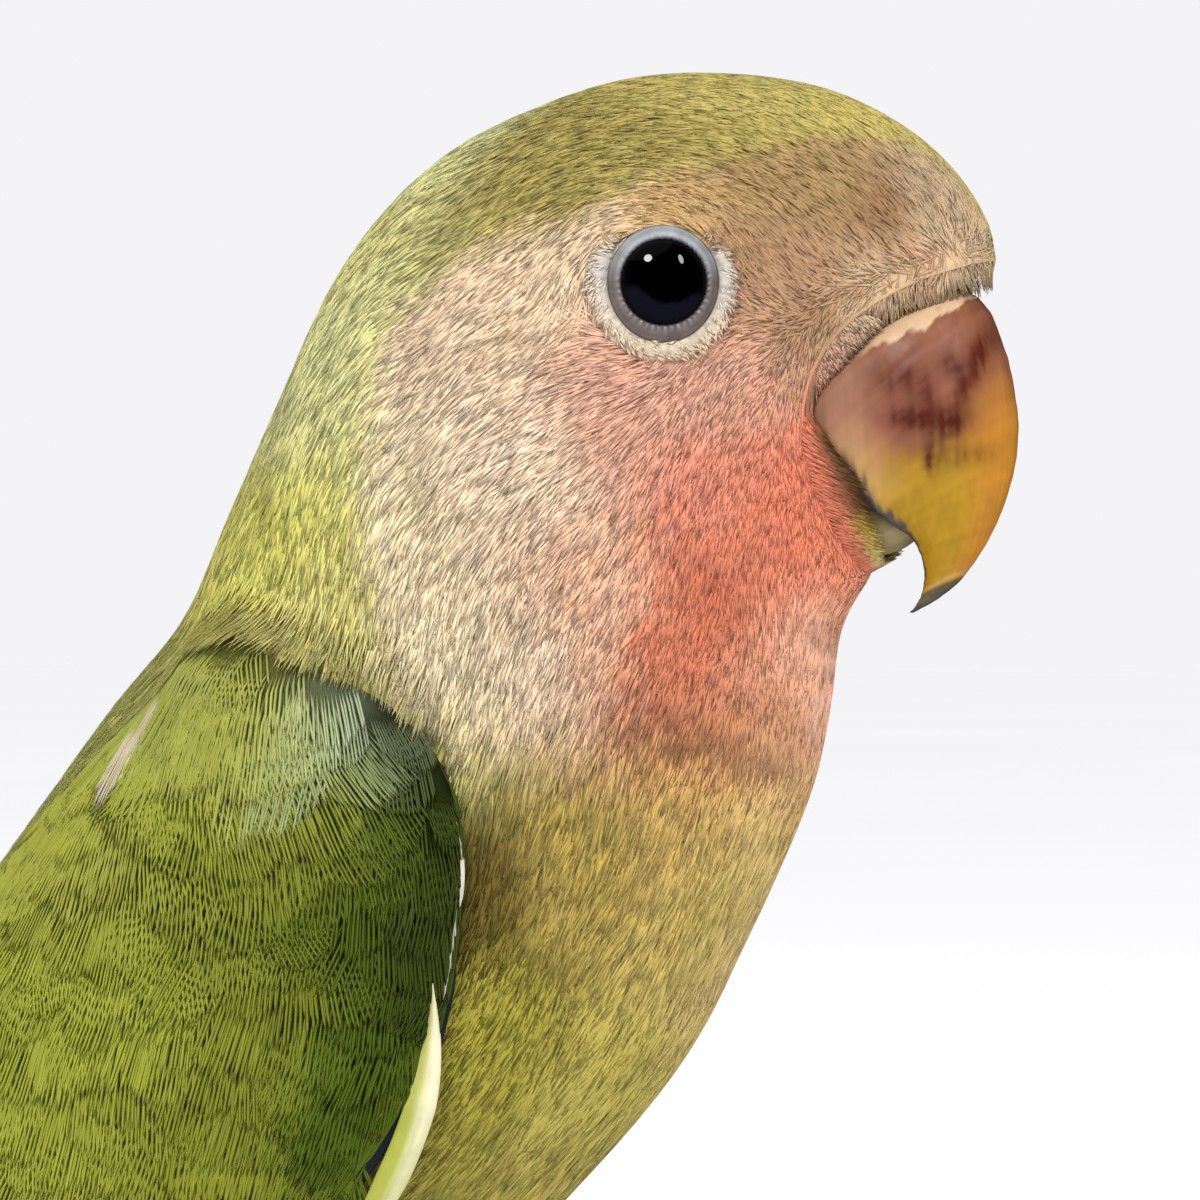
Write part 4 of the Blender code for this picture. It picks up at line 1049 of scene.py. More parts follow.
# By degrees from the front, up and round: share of the eye's feathers kept, and how far they turn off the
# way out.
LASH_SHARE = np.array([
    (0.0, 1.0), (35.0, 0.6), (60.0, 0.0), (125.0, 0.0), (150.0, 0.6), (180.0, 1.0),
    (360.0, 1.0),
])
LASH_LEAN = np.array([(0.0, -34.0), (60.0, -10.0), (120.0, 20.0), (180.0, 30.0), (240.0, 58.0), (270.0, 66.0),
                      (300.0, 10.0), (330.0, -40.0), (360.0, -34.0)])


def eye_feathers(name, mirror, shader):
    """Tiny pale feathers that break up the ring round one eye, scarce above it."""
    rng = np.random.default_rng(SEED + 51)
    axes = eye_axes(mirror)
    degrees = rng.uniform(0.0, 360.0, LASHES)
    degrees = degrees[rng.uniform(0.0, 1.0, LASHES) < np.interp(degrees, *LASH_SHARE.T)]
    count = len(degrees)
    sweep = np.radians(degrees)
    low = np.clip(-np.sin(sweep), 0.0, 1.0)
    outer = np.interp(degrees, *LID_CLEAR.T)
    place = rng.uniform(0.0, 1.0, count) ** 1.3
    start = 3.02 + 0.2 * low + (outer - 2.95) * place
    lean = np.radians(np.interp(degrees, *LASH_LEAN.T) + rng.normal(0.0, 14.0, count))
    reach = rng.uniform(0.5, 0.95, count)
    paths = []
    for step, height in zip(HAIR, (0.02, 0.17, 0.09)):
        radius = start + reach * step * np.cos(lean)
        turn = sweep + reach * step * np.sin(lean) / start
        lift = face_height(radius, turn) + height + rng.normal(0.0, 0.015, count) * (step > 0)
        paths.append(round_eye(axes, radius, turn, lift))
    paths = np.stack(paths, axis=1)
    normals = np.broadcast_to(axes[3], paths.shape)
    colour = blend(linear(206, 198, 186), linear(214, 200, 168), low[:, None])
    above = smooth(np.sin(sweep), 0.3, 0.8)[:, None]
    far = (0.55 * place[:, None] + above * 0.6).clip(0.0, 1.0)
    coat = coat_colours(np.full(count, EYE_RING) - 0.9 * np.cos(sweep), EYE_ANGLE - 22.0 * np.sin(sweep))
    colour = blend(colour, coat, far) * np.clip(rng.normal(1.0, 0.1, (count, 1)), 0.6, 1.25)
    patch = skin_uv(EYE_RING + 0.5 * np.cos(sweep), EYE_ANGLE + 8.0 * mirror * np.sin(sweep), mirror)
    piece = strand_mesh(name, paths, normals, rng.uniform(0.09, 0.15, count), colour * 0.85, colour, patch)
    dress(piece, shader, "face")


def make_eye(name, node, mirror, shader):
    """A smooth ball, painted by the distance from its pupil."""
    middle, front, up, normal = eye_axes(mirror)
    centre = middle - normal * math.sqrt(EYE_RADIUS**2 - EYE_OPENING**2)
    steps = np.radians(np.linspace(0.0, 180.0, 61))[1:-1, None]
    sweep = np.radians(np.arange(0.0, 360.0, 4.0))[None, :]
    out = np.sin(steps)[..., None] * (np.cos(sweep)[..., None] * front + np.sin(sweep)[..., None] * up)
    grid = centre + EYE_RADIUS * (out + np.cos(steps)[..., None] * normal)
    points, faces = tube(grid)
    points[-2], points[-1] = centre + normal * EYE_RADIUS, centre - normal * EYE_RADIUS
    flat = points - centre
    across, height = flat @ front, flat @ up
    reach = np.hypot(across, height)
    pupil, iris, painted_reflection = linear(1, 1, 1), linear(14, 10, 11), linear(14, 14, 23)
    share = smooth(reach, 2.0, 2.3)[:, None] * (flat @ normal > 0)[:, None]
    # A faint bluish crescent low in the eye: painted reflection.
    inner = np.hypot(across - 0.25, height - 0.75)
    lower = smooth(-height - 0.1 * across, 0.2, 0.7) * smooth(inner, 1.8, 2.0) * smooth(reach, 2.25, 2.05)
    lower = (lower * (flat @ normal > 0))[:, None]
    paint = blend(blend(pupil, iris, share), painted_reflection, lower)
    dress(mesh_object(name, points, faces, paint, turn_out=True), shader, "eye", node)


# Bill.

# Upper bill from root to tip: ridge point (x, z), cutting edge (x, z), half width.
UPPER_BILL = np.array([
    (56.4, 94.3, 50.2, 89.8, 3.6), (59.5, 95.5, 51.6, 88.6, 4.7), (61.15, 94.8, 52.9, 87.2, 5.0),
    (62.2, 92.5, 54.1, 85.6, 4.9), (62.85, 89.8, 55.2, 84.1, 4.5), (62.95, 87.0, 56.5, 82.9, 3.9),
    (62.35, 84.3, 57.5, 82.0, 3.2), (61.25, 81.8, 57.9, 80.7, 2.3), (59.85, 79.8, 57.9, 79.5, 1.5),
    (58.5, 78.7, 57.55, 78.6, 0.8), (57.25, 78.0, 57.05, 78.0, 0.15),
])
# Lower bill from root to tip: top (x, z), bottom (x, z), half width.
LOWER_BILL = np.array([
    (51.4, 86.9, 51.6, 82.8, 2.4), (53.2, 86.5, 53.6, 81.5, 2.8), (54.8, 85.3, 55.2, 81.15, 2.8),
    (56.1, 84.0, 56.4, 81.4, 2.5), (57.1, 83.0, 57.2, 81.9, 1.9), (57.7, 82.4, 57.7, 82.3, 0.9),
])
HORN = {
    "cere": (186, 156, 124), "base": (118, 70, 44), "rose": (130, 80, 60), "rear": (140, 98, 76),
    "yellow": (158, 122, 8), "orange": (188, 124, 30), "blotch": (78, 22, 2), "edge": (70, 74, 80),
    "tip": (94, 88, 66), "cream": (188, 150, 96), "under": (150, 136, 94), "under_edge": (84, 82, 66),
}
# x, z where the bare cere ends on the bill, from gape to ridge.
CERE_LINE = np.array([(54.5, 91.8), (56.0, 92.2), (58.4, 93.15), (60.0, 94.4), (61.2, 95.5), (62.6, 96.6)])
# Dark blotches on the bill: x, z, half length down it, half width, strength, lean forward going down.
BLOTCHES = [
    (61.3, 91.6, 1.9, 0.6, 0.9, -0.22),
    (60.3, 91.2, 1.0, 0.5, 0.85, 0.45),
    (60.7, 89.9, 1.1, 0.45, 0.8, -0.1),
    (57.5, 90.7, 1.1, 1.9, 0.6, 0.0),
    (58.9, 89.7, 0.9, 0.7, 0.6, 0.2),
    (60.0, 88.2, 0.85, 0.95, 1.1, 0.0),
    (58.3, 88.5, 0.7, 1.7, 0.85, 0.0),
    (59.2, 86.4, 0.9, 0.5, 0.85, -0.1),
    (61.0, 86.6, 0.7, 1.4, 0.4, 0.0),
]


def bill_grid(table, rows, sides, sag, keel, boxy):
    """Rows of points of a bill half, with each point's station and its height from edge to ridge.

    keel shapes the whole section, and boxy the lower half of the sections near the root."""
    station = np.linspace(0.0, len(table) - 1.0, rows)[:, None]
    top_x, top_z, low_x, low_z, half = np.moveaxis(between(table, station), -1, 0)
    turn = np.arange(sides)[None, :] * 2 * math.pi / sides
    up, out = np.cos(turn), np.sin(turn)
    x = (top_x + low_x) / 2 + (top_x - low_x) / 2 * up
    z = (top_z + low_z) / 2 + (top_z - low_z) / 2 * up
    root = smooth(station, 7.5, 5.0) * smooth(up, 0.5, -0.5)
    y = -half * np.sign(out) * np.abs(out) ** blend(keel, boxy, root) * (1 - sag * up)
    return np.stack([x, y, z], axis=-1), np.broadcast_to(station, x.shape), np.broadcast_to(up, x.shape)


def streaks(points, along, pitch, seed):
    """Uneven lines that run along a direction, about -1 to 1."""
    flat = points - dot(points, along)[..., None] * along * 0.93
    return ripple(flat, pitch, seed)


def make_upper_bill(shader):
    """Upper bill with its cere, growth lines, blotches, grey cutting edge and stepped tip."""
    grid, station, up = bill_grid(UPPER_BILL, 150, 144, 0.12, 0.9, 0.16)
    rows, sides = station.shape
    points, faces = tube(grid)
    flat = points[:rows * sides]
    station, up = station.ravel(), up.ravel()
    x, z = flat[:, 0], flat[:, 2]
    past = 0.75 * (np.interp(x, *CERE_LINE.T) - z)
    past += 0.12 * ripple(flat, 1.6, 31) + 0.05 * ripple(flat, 0.6, 32)
    cere = smooth(past, 0.08, -0.08) * smooth(x, 54.8, 56.4)
    growth = ripple(np.stack([station * 9.0, 0 * x, 0 * x], axis=1), 3.0, 33)
    along = unit(np.array([0.06, 0.0, -1.0]))
    line = streaks(flat, along, 0.55, 34)
    fine_line = streaks(flat, along, 0.22, 39)
    outward = unit(flat - np.repeat(grid.mean(1), sides, axis=0))
    height = 0.05 * cere + 0.018 * growth * (1 - cere) + 0.012 * line
    points[:rows * sides] += outward * height[:, None]
    colour = {name: linear(*shade) for name, shade in HORN.items()}

    def lay(base, name, share):
        """A horn colour laid over the paint so far, by its share at each point."""
        return blend(base, colour[name], np.clip(share, 0.0, 1.0)[:, None])

    paint = np.tile(colour["base"], (len(flat), 1))
    paint = lay(paint, "rose", smooth(station, 1.4, 2.6) * smooth(station, 4.6, 3.2) * 0.7)
    paint = lay(paint, "rear", smooth(x, 57.2, 54.4) * 0.9)
    lower = smooth(z + 0.35 * line + 0.25 * ripple(flat, 2.0, 35) - 0.25 * (x - 58.0), 88.0, 84.8)
    paint = lay(paint, "yellow", lower * 0.95)
    paint = lay(paint, "orange", smooth(up, 0.1, 0.9) * smooth(station, 2.7, 4.8) * 0.85)
    middle = smooth(station, 1.8, 2.8) * smooth(station, 5.0, 3.8)
    paint = lay(paint, "cream", smooth(up, -0.3, -0.8) * middle * 0.45)
    for spot_x, spot_z, reach, width, strength, lean in BLOTCHES:
        run = spot_z - z
        off = x - spot_x - lean * run
        share = np.exp(-((run / reach) ** 2) - (off / width) ** 2)
        paint = lay(paint, "blotch", share * (1.1 + 0.3 * line + 0.24 * fine_line) * strength)
    rim = smooth(up + 0.05 * line, -0.78, -0.93) * smooth(station, 2.4, 3.4)
    paint = lay(paint, "edge", rim * 0.9)
    tip = smooth(station + 0.35 * up, 8.15, 8.35)
    paint = lay(paint, "tip", tip)
    paint = lay(paint, "edge", smooth(station, 8.9, 9.8) * 0.8)
    paint = lay(paint, "cream", np.exp(-(((station + 0.35 * up) - 8.05) / 0.12) ** 2) * 0.6)
    paint = lay(paint, "cere", cere)
    paint = paint * (1 + 0.05 * line + 0.04 * growth)[:, None]
    paint = np.concatenate([paint, paint[:1], paint[-1:]])
    piece = mesh_object("bill_upper_horn", points, faces, paint, turn_out=True)
    dress(piece, shader, "horn", "bill_upper")


def make_lower_bill(shader):
    """Lower bill, a grey olive scoop with a darker rim."""
    grid, _, up = bill_grid(LOWER_BILL, 60, 72, -0.1, 0.94, 0.94)
    points, faces = tube(grid)
    flat = points[:-2]
    line = streaks(flat, unit(np.array([0.6, 0.0, 0.3])), 0.5, 41)
    points[:-2] += unit(flat - np.repeat(grid.mean(1), grid.shape[1], axis=0)) * (0.012 * line)[:, None]
    rim = smooth(up.ravel(), 0.55, 0.9)[:, None]
    paint = blend(linear(*HORN["under"]), linear(*HORN["under_edge"]), rim) * (1 + 0.08 * line)[:, None]
    paint = np.concatenate([paint, paint[:1], paint[-1:]])
    piece = mesh_object("bill_lower_horn", points, faces, paint, turn_out=True)
    dress(piece, shader, "lower_horn", "bill_lower")


# Vanes.

VANE_THICK, SHAFT_RISE = 0.12, 0.1
VANE_ACROSS = np.array([-1.0, -0.86, -0.62, -0.36, -0.12, 0.0, 0.12, 0.36, 0.62, 0.86, 1.0])
QUILL_SHAPE = np.array([
    (0.0, 0.42), (0.15, 0.72), (0.3, 0.9), (0.62, 1.0), (0.86, 0.82), (0.95, 0.58),
    (1.0, 0.2),
])
EDGE_SHAPE = np.array([(0.0, 0.1), (0.2, 0.5), (0.45, 0.92), (0.7, 1.0), (0.9, 0.75), (1.0, 0.2)])
SOFT_SHAPE = np.array([(0.0, 0.5), (0.25, 0.85), (0.5, 1.0), (0.8, 0.88), (0.93, 0.62), (1.0, 0.2)])


def on_shaft(across):
    """True in the middle of a vane."""
    return np.abs(across) < 0.05


def vane_parts(middles, sides, normals, near, far, camber=0.18):
    """Points, faces and measuring map of one thin vane with a raised shaft.

    near and far are half widths against and along sides."""
    rows, columns = len(middles), len(VANE_ACROSS)
    across = np.where(VANE_ACROSS[None, :] < 0, near[:, None], far[:, None]) * VANE_ACROSS[None, :]
    arch = camber * (1 - VANE_ACROSS[None, :] ** 2) + SHAFT_RISE * on_shaft(VANE_ACROSS)
    top = middles[:, None] + sides[:, None] * across[..., None] + normals[:, None] * arch[..., None]
    bottom = top - normals[:, None] * VANE_THICK
    walked = walked_along(middles)
    measure = np.stack([across, np.broadcast_to(walked[:, None], across.shape)], axis=-1)
    points = np.concatenate([top.reshape(-1, 3), bottom.reshape(-1, 3)])
    measures = np.concatenate([measure, measure]).reshape(-1, 2)
    return points, slab_faces(rows, columns), measures, np.tile(VANE_ACROSS, 2 * rows)


def laid_vane(root, tip, width, lifts, bend=0.0, shape=QUILL_SHAPE, rows=26, near_share=1.0, camber=0.18):
    """A vane along the plumage between two (ring, angle) places. lifts are heights at its root and tip."""
    share = np.linspace(0.0, 1.0, rows)
    rings = root[0] + (tip[0] - root[0]) * share
    angles = root[1] + (tip[1] - root[1]) * share + bend * share * (1 - share) * 4
    normals = slopes_at(rings, angles)[2]
    lift = lifts[0] + (lifts[1] - lifts[0]) * np.sqrt(share)
    middles = plumage(rings, angles) + normals * lift[:, None]
    ahead = unit(np.gradient(middles, axis=0))
    sides = unit(np.cross(normals, ahead))
    down = plumage(rings, angles + 2.0) - plumage(rings, angles - 2.0)
    sides = sides * np.sign(dot(sides, down))[:, None]
    half = np.interp(share, *shape.T) * width / 2
    parts = vane_parts(middles, sides, normals, half * near_share, half, camber)
    return (*parts, share, rings[0], angles[0])


def vane_piece(name, vanes, colours, shader, slot, nodes=(), mirror=1.0):
    """One piece of many vanes. colours paints each vane from its shares along and across."""
    points, faces, measures, paints, patches = [], [], [], [], []
    start = 0
    for number, (spots, quads, measure, across, share, ring, angle) in enumerate(vanes):
        along = np.tile(np.repeat(share, len(VANE_ACROSS)), 2)
        points.append(spots)
        faces.append(quads + start)
        measures.append(measure)
        paints.append(colours(number, along, across))
        patches.append(skin_uv(ring, angle) + np.stack([across * 0.006, (along - 0.5) * 0.02], axis=-1))
        start += len(spots)
    points = np.concatenate(points) * (1.0, mirror, 1.0)
    piece = mesh_object(name, points, [np.concatenate(faces)], np.concatenate(paints),
                        np.concatenate(patches), np.concatenate(measures), turn_out=True)
    dress(piece, shader, slot, *nodes)


# Wings.

# Colours of the wing's coverts, with the places that each rules, as in the coat's own tables.
WING_COAT = {
    "teal": ((156, 172, 144), (9.65, 88.0)),
    # pale: lighter paint at the wing's top edge, painted light that offsets the shade of the neck's feathers
    # over it.
    "pale": ((150, 156, 96), (10.0, 83.0)),
    "slate": ((62, 73, 44), (9.45, 97.0)),
    "front": ((50, 62, 9), (9.8, 106.0), (10.2, 110.0), (10.7, 109.0), (11.3, 115.0)),
    "mid": ((74, 88, 15), (10.2, 98.0), (11.3, 92.0), (10.75, 100.0), (17.5, 70.0)),
    "leaf": ((68, 88, 12), (12.1, 108.0), (13.0, 112.0)),
    "olive": ((119, 126, 38), (10.8, 86.0), (11.35, 83.0), (12.4, 94.0), (13.1, 98.0), (11.6, 76.0)),
    "low": ((130, 134, 38), (13.9, 108.0), (15.5, 90.0), (15.5, 50.0)),
    "back": ((138, 145, 48), (11.5, 66.0), (13.0, 76.0), (13.6, 68.0), (14.5, 83.0)),
    "scapular": ((142, 144, 56), (10.5, 71.0), (12.6, 50.0)),
}
SHOULDER = np.array([27.0, -17.0, 70.5])    # middle of the whorl that the shoulder's fans open round


def wing_colours(ring, angle):
    """Colours of the right wing's coverts."""
    return zone_colours(WING_COAT, plumage(ring, angle), 4.0, 2.2)


def wing_surface(ring, angle):
    """The outer face of the right wing's arm."""
    return plumage(ring, angle) + slopes_at(ring, angle)[2] * wing_height(ring, angle)[..., None]


def make_wing_arm(name, mirror, shader, node):
    """The arm under the coverts, painted at a third of their colours as painted shade that shows between barbs.
    """
    rows, columns = 70, 40
    rings = WING_FRONT + (WING_REAR - WING_FRONT) * np.linspace(0.002, 0.998, rows) ** 1.3
    upper, lower = upper_edge(rings), lower_edge(rings)
    across = (1 - np.cos(np.linspace(0.02, math.pi - 0.02, columns))) / 2
    angle = upper[:, None] + (lower - upper)[:, None] * across[None, :]
    ring = np.broadcast_to(rings[:, None], angle.shape)
    base, normal = plumage(ring, angle), slopes_at(ring, angle)[2]
    top = base + normal * (wing_height(ring, angle) - 0.35)[..., None]
    bottom = base + normal * 0.12
    points = np.concatenate([top.reshape(-1, 3), bottom.reshape(-1, 3)]) * (1.0, mirror, 1.0)
    # A third of the coverts' colours: painted shade that shows between barbs.
    paint = wing_colours(ring.ravel(), angle.ravel()) * 0.3
    paint = np.concatenate([paint, paint])
    piece = mesh_object(name, points, [slab_faces(rows, columns)], paint, turn_out=True)
    dress(piece, shader, "wing", node)


def fan_turn(points, ahead, beside):
    """How far the coverts' barbs turn off the lie, so that they hang down and open round the shoulder."""
    near = ((points[:, 0] - SHOULDER[0] - 2.5) / 6.0) ** 2 + ((points[:, 2] - SHOULDER[2]) / 4.5) ** 2
    lean = 26.0 * np.exp(-near) - 3.0 - 8.0 * smooth(points[:, 2], 62.0, 50.0)
    swing = np.radians(lean)[:, None]
    way = np.array([0.0, 0.0, -1.0]) * np.cos(swing) + np.array([1.0, 0.0, 0.0]) * np.sin(swing)
    turn = np.degrees(np.arctan2(dot(way, beside), dot(way, ahead)))
    return turn * smooth(points[:, 0], 2.0, 18.0)


def fans(name, rng, ring, angle, turn, size, form, shader, mirror, tone=None):
    """Overlapping feathers of fine parallel barbs on the folded wing, one fan for each root.

    form holds the barbs of a fan, half its width at the root, its length, its spread in degrees,
    barb width, heights over the arm at the barb's stations and shades of root and tip. tone is one colour
    for all of them in place of the wing's own colours."""
    barbs, half, reach, spread, thick, heights, shades = form
    count = len(ring)
    owner = np.repeat(np.arange(count), barbs)
    u = np.tile(np.linspace(-1.0, 1.0, barbs), count)
    ring_a, angle_a = heading(plumage, ring, angle, turn)
    ring_s, angle_s = heading(plumage, ring, angle, turn + 90.0)
    root_side = u * half * size[owner]
    root_back = -0.35 * half * u**2 * size[owner]
    ring_b = ring[owner] + ring_s[owner] * root_side + ring_a[owner] * root_back
    angle_b = angle[owner] + angle_s[owner] * root_side + angle_a[owner] * root_back
    bend = rng.normal(0.0, 6.0, count)[owner]
    length = size[owner] * reach * (1.0 - 0.22 * u**2) * rng.uniform(0.96, 1.04, len(u))
    turn_b = turn[owner] + spread * u + rng.normal(0.0, 0.6, len(u))
    rings, angles = walk(plumage, ring_b, angle_b, turn_b, bend - 0.5 * spread * u, length, BARB)
    rings = np.maximum(rings, WING_FRONT + 0.02)
    angles = np.minimum(angles, np.where(rings < 14.0, lower_edge(np.minimum(rings, 14.0)) - 0.4, 400.0))
    near_rings = np.minimum(rings, 19.4)
    near_angles = np.clip(angles, upper_edge(near_rings) + 0.5, lower_edge(near_rings) - 0.5)
    height = np.maximum(wing_height(near_rings, near_angles), 0.8)
    height = 0.2 + (height - 0.2) * smooth(angles, upper_edge(near_rings) - 6.0, upper_edge(near_rings) + 1.0)
    lifts = np.array(heights)[None] - 0.12 * u[:, None] ** 2 + rng.normal(0.0, 0.02, count)[owner][:, None]
    normals = frame_at(plumage, rings, angles)[4]
    paths = plumage(rings, angles) + normals * (height + lifts)[..., None]
    shade = rng.normal(1.0, 0.04, count)[owner] * rng.normal(1.0, 0.06, len(u))
    colour = (wing_colours(ring_b, angle_b) if tone is None else tone) * np.clip(shade, 0.6, 1.4)[:, None]
    # Root paint darker than the tip: painted shade where each fan lies under those over it.
    piece = strand_mesh(name, paths, normals, thick * size[owner], colour * shades[0], colour * shades[1],
                        skin_uv(ring_b, angle_b, mirror), 0.45, BARB, mirror)
    dress(piece, shader, "wing")


def wing_coverts(name, mirror, shader):
    """Overlapping fans of fine barbs over the folded arm."""
    rng = np.random.default_rng(SEED + 11)
    rings, angles = [], []
    row_number = 0
    place = WING_FRONT + 0.02
    while place < 18.3:
        upper, lower = float(upper_edge(place)), float(lower_edge(place))
        probe = np.linspace(upper, lower, 60)
        line = wing_surface(np.full(60, place), probe)
        walked = walked_along(line)
        count = max(2, round(walked[-1] / 2.2))
        shift = 0.3 + 0.4 * (row_number % 2)
        spots = (np.arange(count) + shift + rng.uniform(-0.3, 0.3, count)) / count
        angles.append(np.interp(spots * walked[-1], walked, probe))
        step = 2.1 / np.linalg.norm(slopes_at(np.array([place]), np.array([(upper + lower) / 2]))[0])
        rings.append(np.full(count, place) + rng.uniform(-0.3, 0.3, count) * step)
        place += step
        row_number += 1
    ring, angle = np.concatenate(rings), np.concatenate(angles)
    ring = np.clip(ring, WING_FRONT, 18.4)
    angle = np.clip(angle, upper_edge(ring), lower_edge(ring))
    _, _, ahead, beside, _ = frame_at(plumage, ring, angle)
    turn = fan_turn(plumage(ring, angle), ahead, beside) + rng.normal(0.0, 8.0, len(ring))
    size = np.interp(ring, [9.4, 10.4, 14.0, 18.0], [0.65, 0.95, 1.05, 1.25])
    size = size * rng.uniform(0.9, 1.12, len(ring))
    form = (19, 1.6, 5.0, 9.0, 0.185, (-0.2, -0.02, 0.08, 0.1), (0.92, 1.04))
    fans(name, rng, ring, angle, turn, size, form, shader, mirror)


SECONDARIES = 9
PRIMARY_ENDS = np.array([24.6, 25.1, 25.0, 24.4, 23.7, 23.0])
PRIMARIES = 9


def quill_paint(outer, inner, tip):
    """Paints a flight feather: outer web, inner web and tip in their own colours, the shaft dark."""
    def paint(number, along, across):
        web = smooth(across, -0.15, 0.15)[:, None]
        end = smooth(along, 0.82, 0.97)[:, None] * 0.7
        base = blend(blend(inner, outer, web), tip, end)
        shaft = on_shaft(across)[:, None] * 0.6
        rng = np.random.default_rng(SEED + 40 + number)
        return base * (1 - shaft) * rng.uniform(0.88, 1.1)
    return paint


def make_flight_feathers(side, mirror, vane_material):
    """Secondaries over the back of the wing, and the primaries that reach over the tail."""
    rows = []
    for number in range(SECONDARIES):
        share = number / (SECONDARIES - 1)
        root = (15.0, 106.0 - 74.0 * share)
        tip = (21.6 - 2.4 * share**2, 54.0 - 34.0 * share)
        rows.append(laid_vane(root, tip, 4.6, (1.75, 3.0 + 0.02 * number), bend=2.0, near_share=0.7))
    paint = quill_paint(linear(126, 148, 50), linear(52, 70, 40), linear(60, 84, 36))
    vane_piece(f"secondaries_{side}", rows, paint, vane_material, "wing", mirror=mirror)
    rows = []
    for number in range(PRIMARIES):
        place = number * (len(PRIMARY_ENDS) - 1) / (PRIMARIES - 1)
        end = float(np.interp(place, range(len(PRIMARY_ENDS)), PRIMARY_ENDS))
        root, tip = (18.2, 86.0 - 7.5 * place), (end, 42.0 - 4.4 * place)
        rows.append(laid_vane(root, tip, 3.7, (1.25, 1.5 + 0.03 * number), near_share=0.8))
    paint = quill_paint(linear(52, 78, 44), linear(34, 38, 34), linear(28, 30, 28))
    vane_piece(f"flight_{side}", rows, paint, vane_material, "quill", (f"primaries_{side}",), mirror)


def make_wing_edge(side, mirror, material):
    """Pale line of the wing's front edge, the curved pale feather below it and, inside it, a dark vane that is
    painted shade in the slot.
    """
    rows = [
        laid_vane((10.0, 112.0), (10.9, 116.2), 0.3, (1.0, 1.1), bend=0.6, shape=SOFT_SHAPE, rows=20,
                  camber=0.15),
        laid_vane((10.6, 114.4), (11.9, 118.4), 0.4, (1.0, 1.1), bend=0.3, shape=SOFT_SHAPE, rows=20,
                  camber=0.15),
        laid_vane((10.9, 113.6), (14.3, 122.5), 3.0, (0.85, 0.95), bend=0.0, shape=SOFT_SHAPE, camber=0.1),
        laid_vane((11.78, 115.8), (14.6, 132.0), 2.1, (1.1, 1.15), bend=0.8, shape=EDGE_SHAPE, rows=34,
                  camber=0.5, near_share=0.8),
    ]
    white, cream, dark = linear(222, 216, 200), linear(232, 226, 190), linear(30, 34, 44)

    def paint(number, along, across):
        # The dark vane is painted shade in the slot between the wing's edge and the pale feather.
        if number == 2:
            return np.tile(dark, (len(along), 1))
        if number < 2:
            return np.tile(white * (0.9, 0.6)[number], (len(along), 1))
        green = smooth(across, 0.3, -0.6) * 0.85 + smooth(along, 0.3, 0.8) * 0.5
        green = np.clip(green, 0.0, 1.0)[:, None]
        return blend(cream, linear(158, 162, 70), green)

    vane_piece(f"alula_{side}", rows, paint, material, "wing", mirror=mirror)


def make_scapulars(name, mirror, shader):
    """Long soft feathers over the wing's upper edge."""
    rng = np.random.default_rng(SEED + 21)
    ring = rng.uniform(9.9, 14.6, 46)
    angle = upper_edge(ring) + rng.uniform(-5.0, 12.0, len(ring))
    turn = 6.0 + rng.normal(0.0, 6.0, len(ring))
    size = rng.uniform(0.9, 1.1, len(ring))
    form = (19, 1.5, 8.0, 4.0, 0.19, (-0.1, 0.05, 0.1, 0.1), (0.92, 1.05))
    fans(name, rng, ring, angle, turn, size, form, shader, mirror)
    form = (15, 0.5, 7.0, 4.0, 0.13, (0.0, 0.2, 0.22, 0.14), (0.9, 1.05))
    streak = np.array([11.5, 11.9]), np.array([47.6, 46.4])
    turn = np.array([12.0, 14.0])
    fans(f"{name}_pale", rng, *streak, turn, np.ones(2), form, shader, mirror, linear(176, 166, 138))


# Tail.

TAIL_START = (-41.3, 13.9)
TAIL_SLOPE = 25.0
TAIL_LENGTH = 22.0
TAIL_FEATHER = 8.0
TAIL_LAYERS = 6
TAIL_STEP = 0.8
TAIL_TOP = 2.5


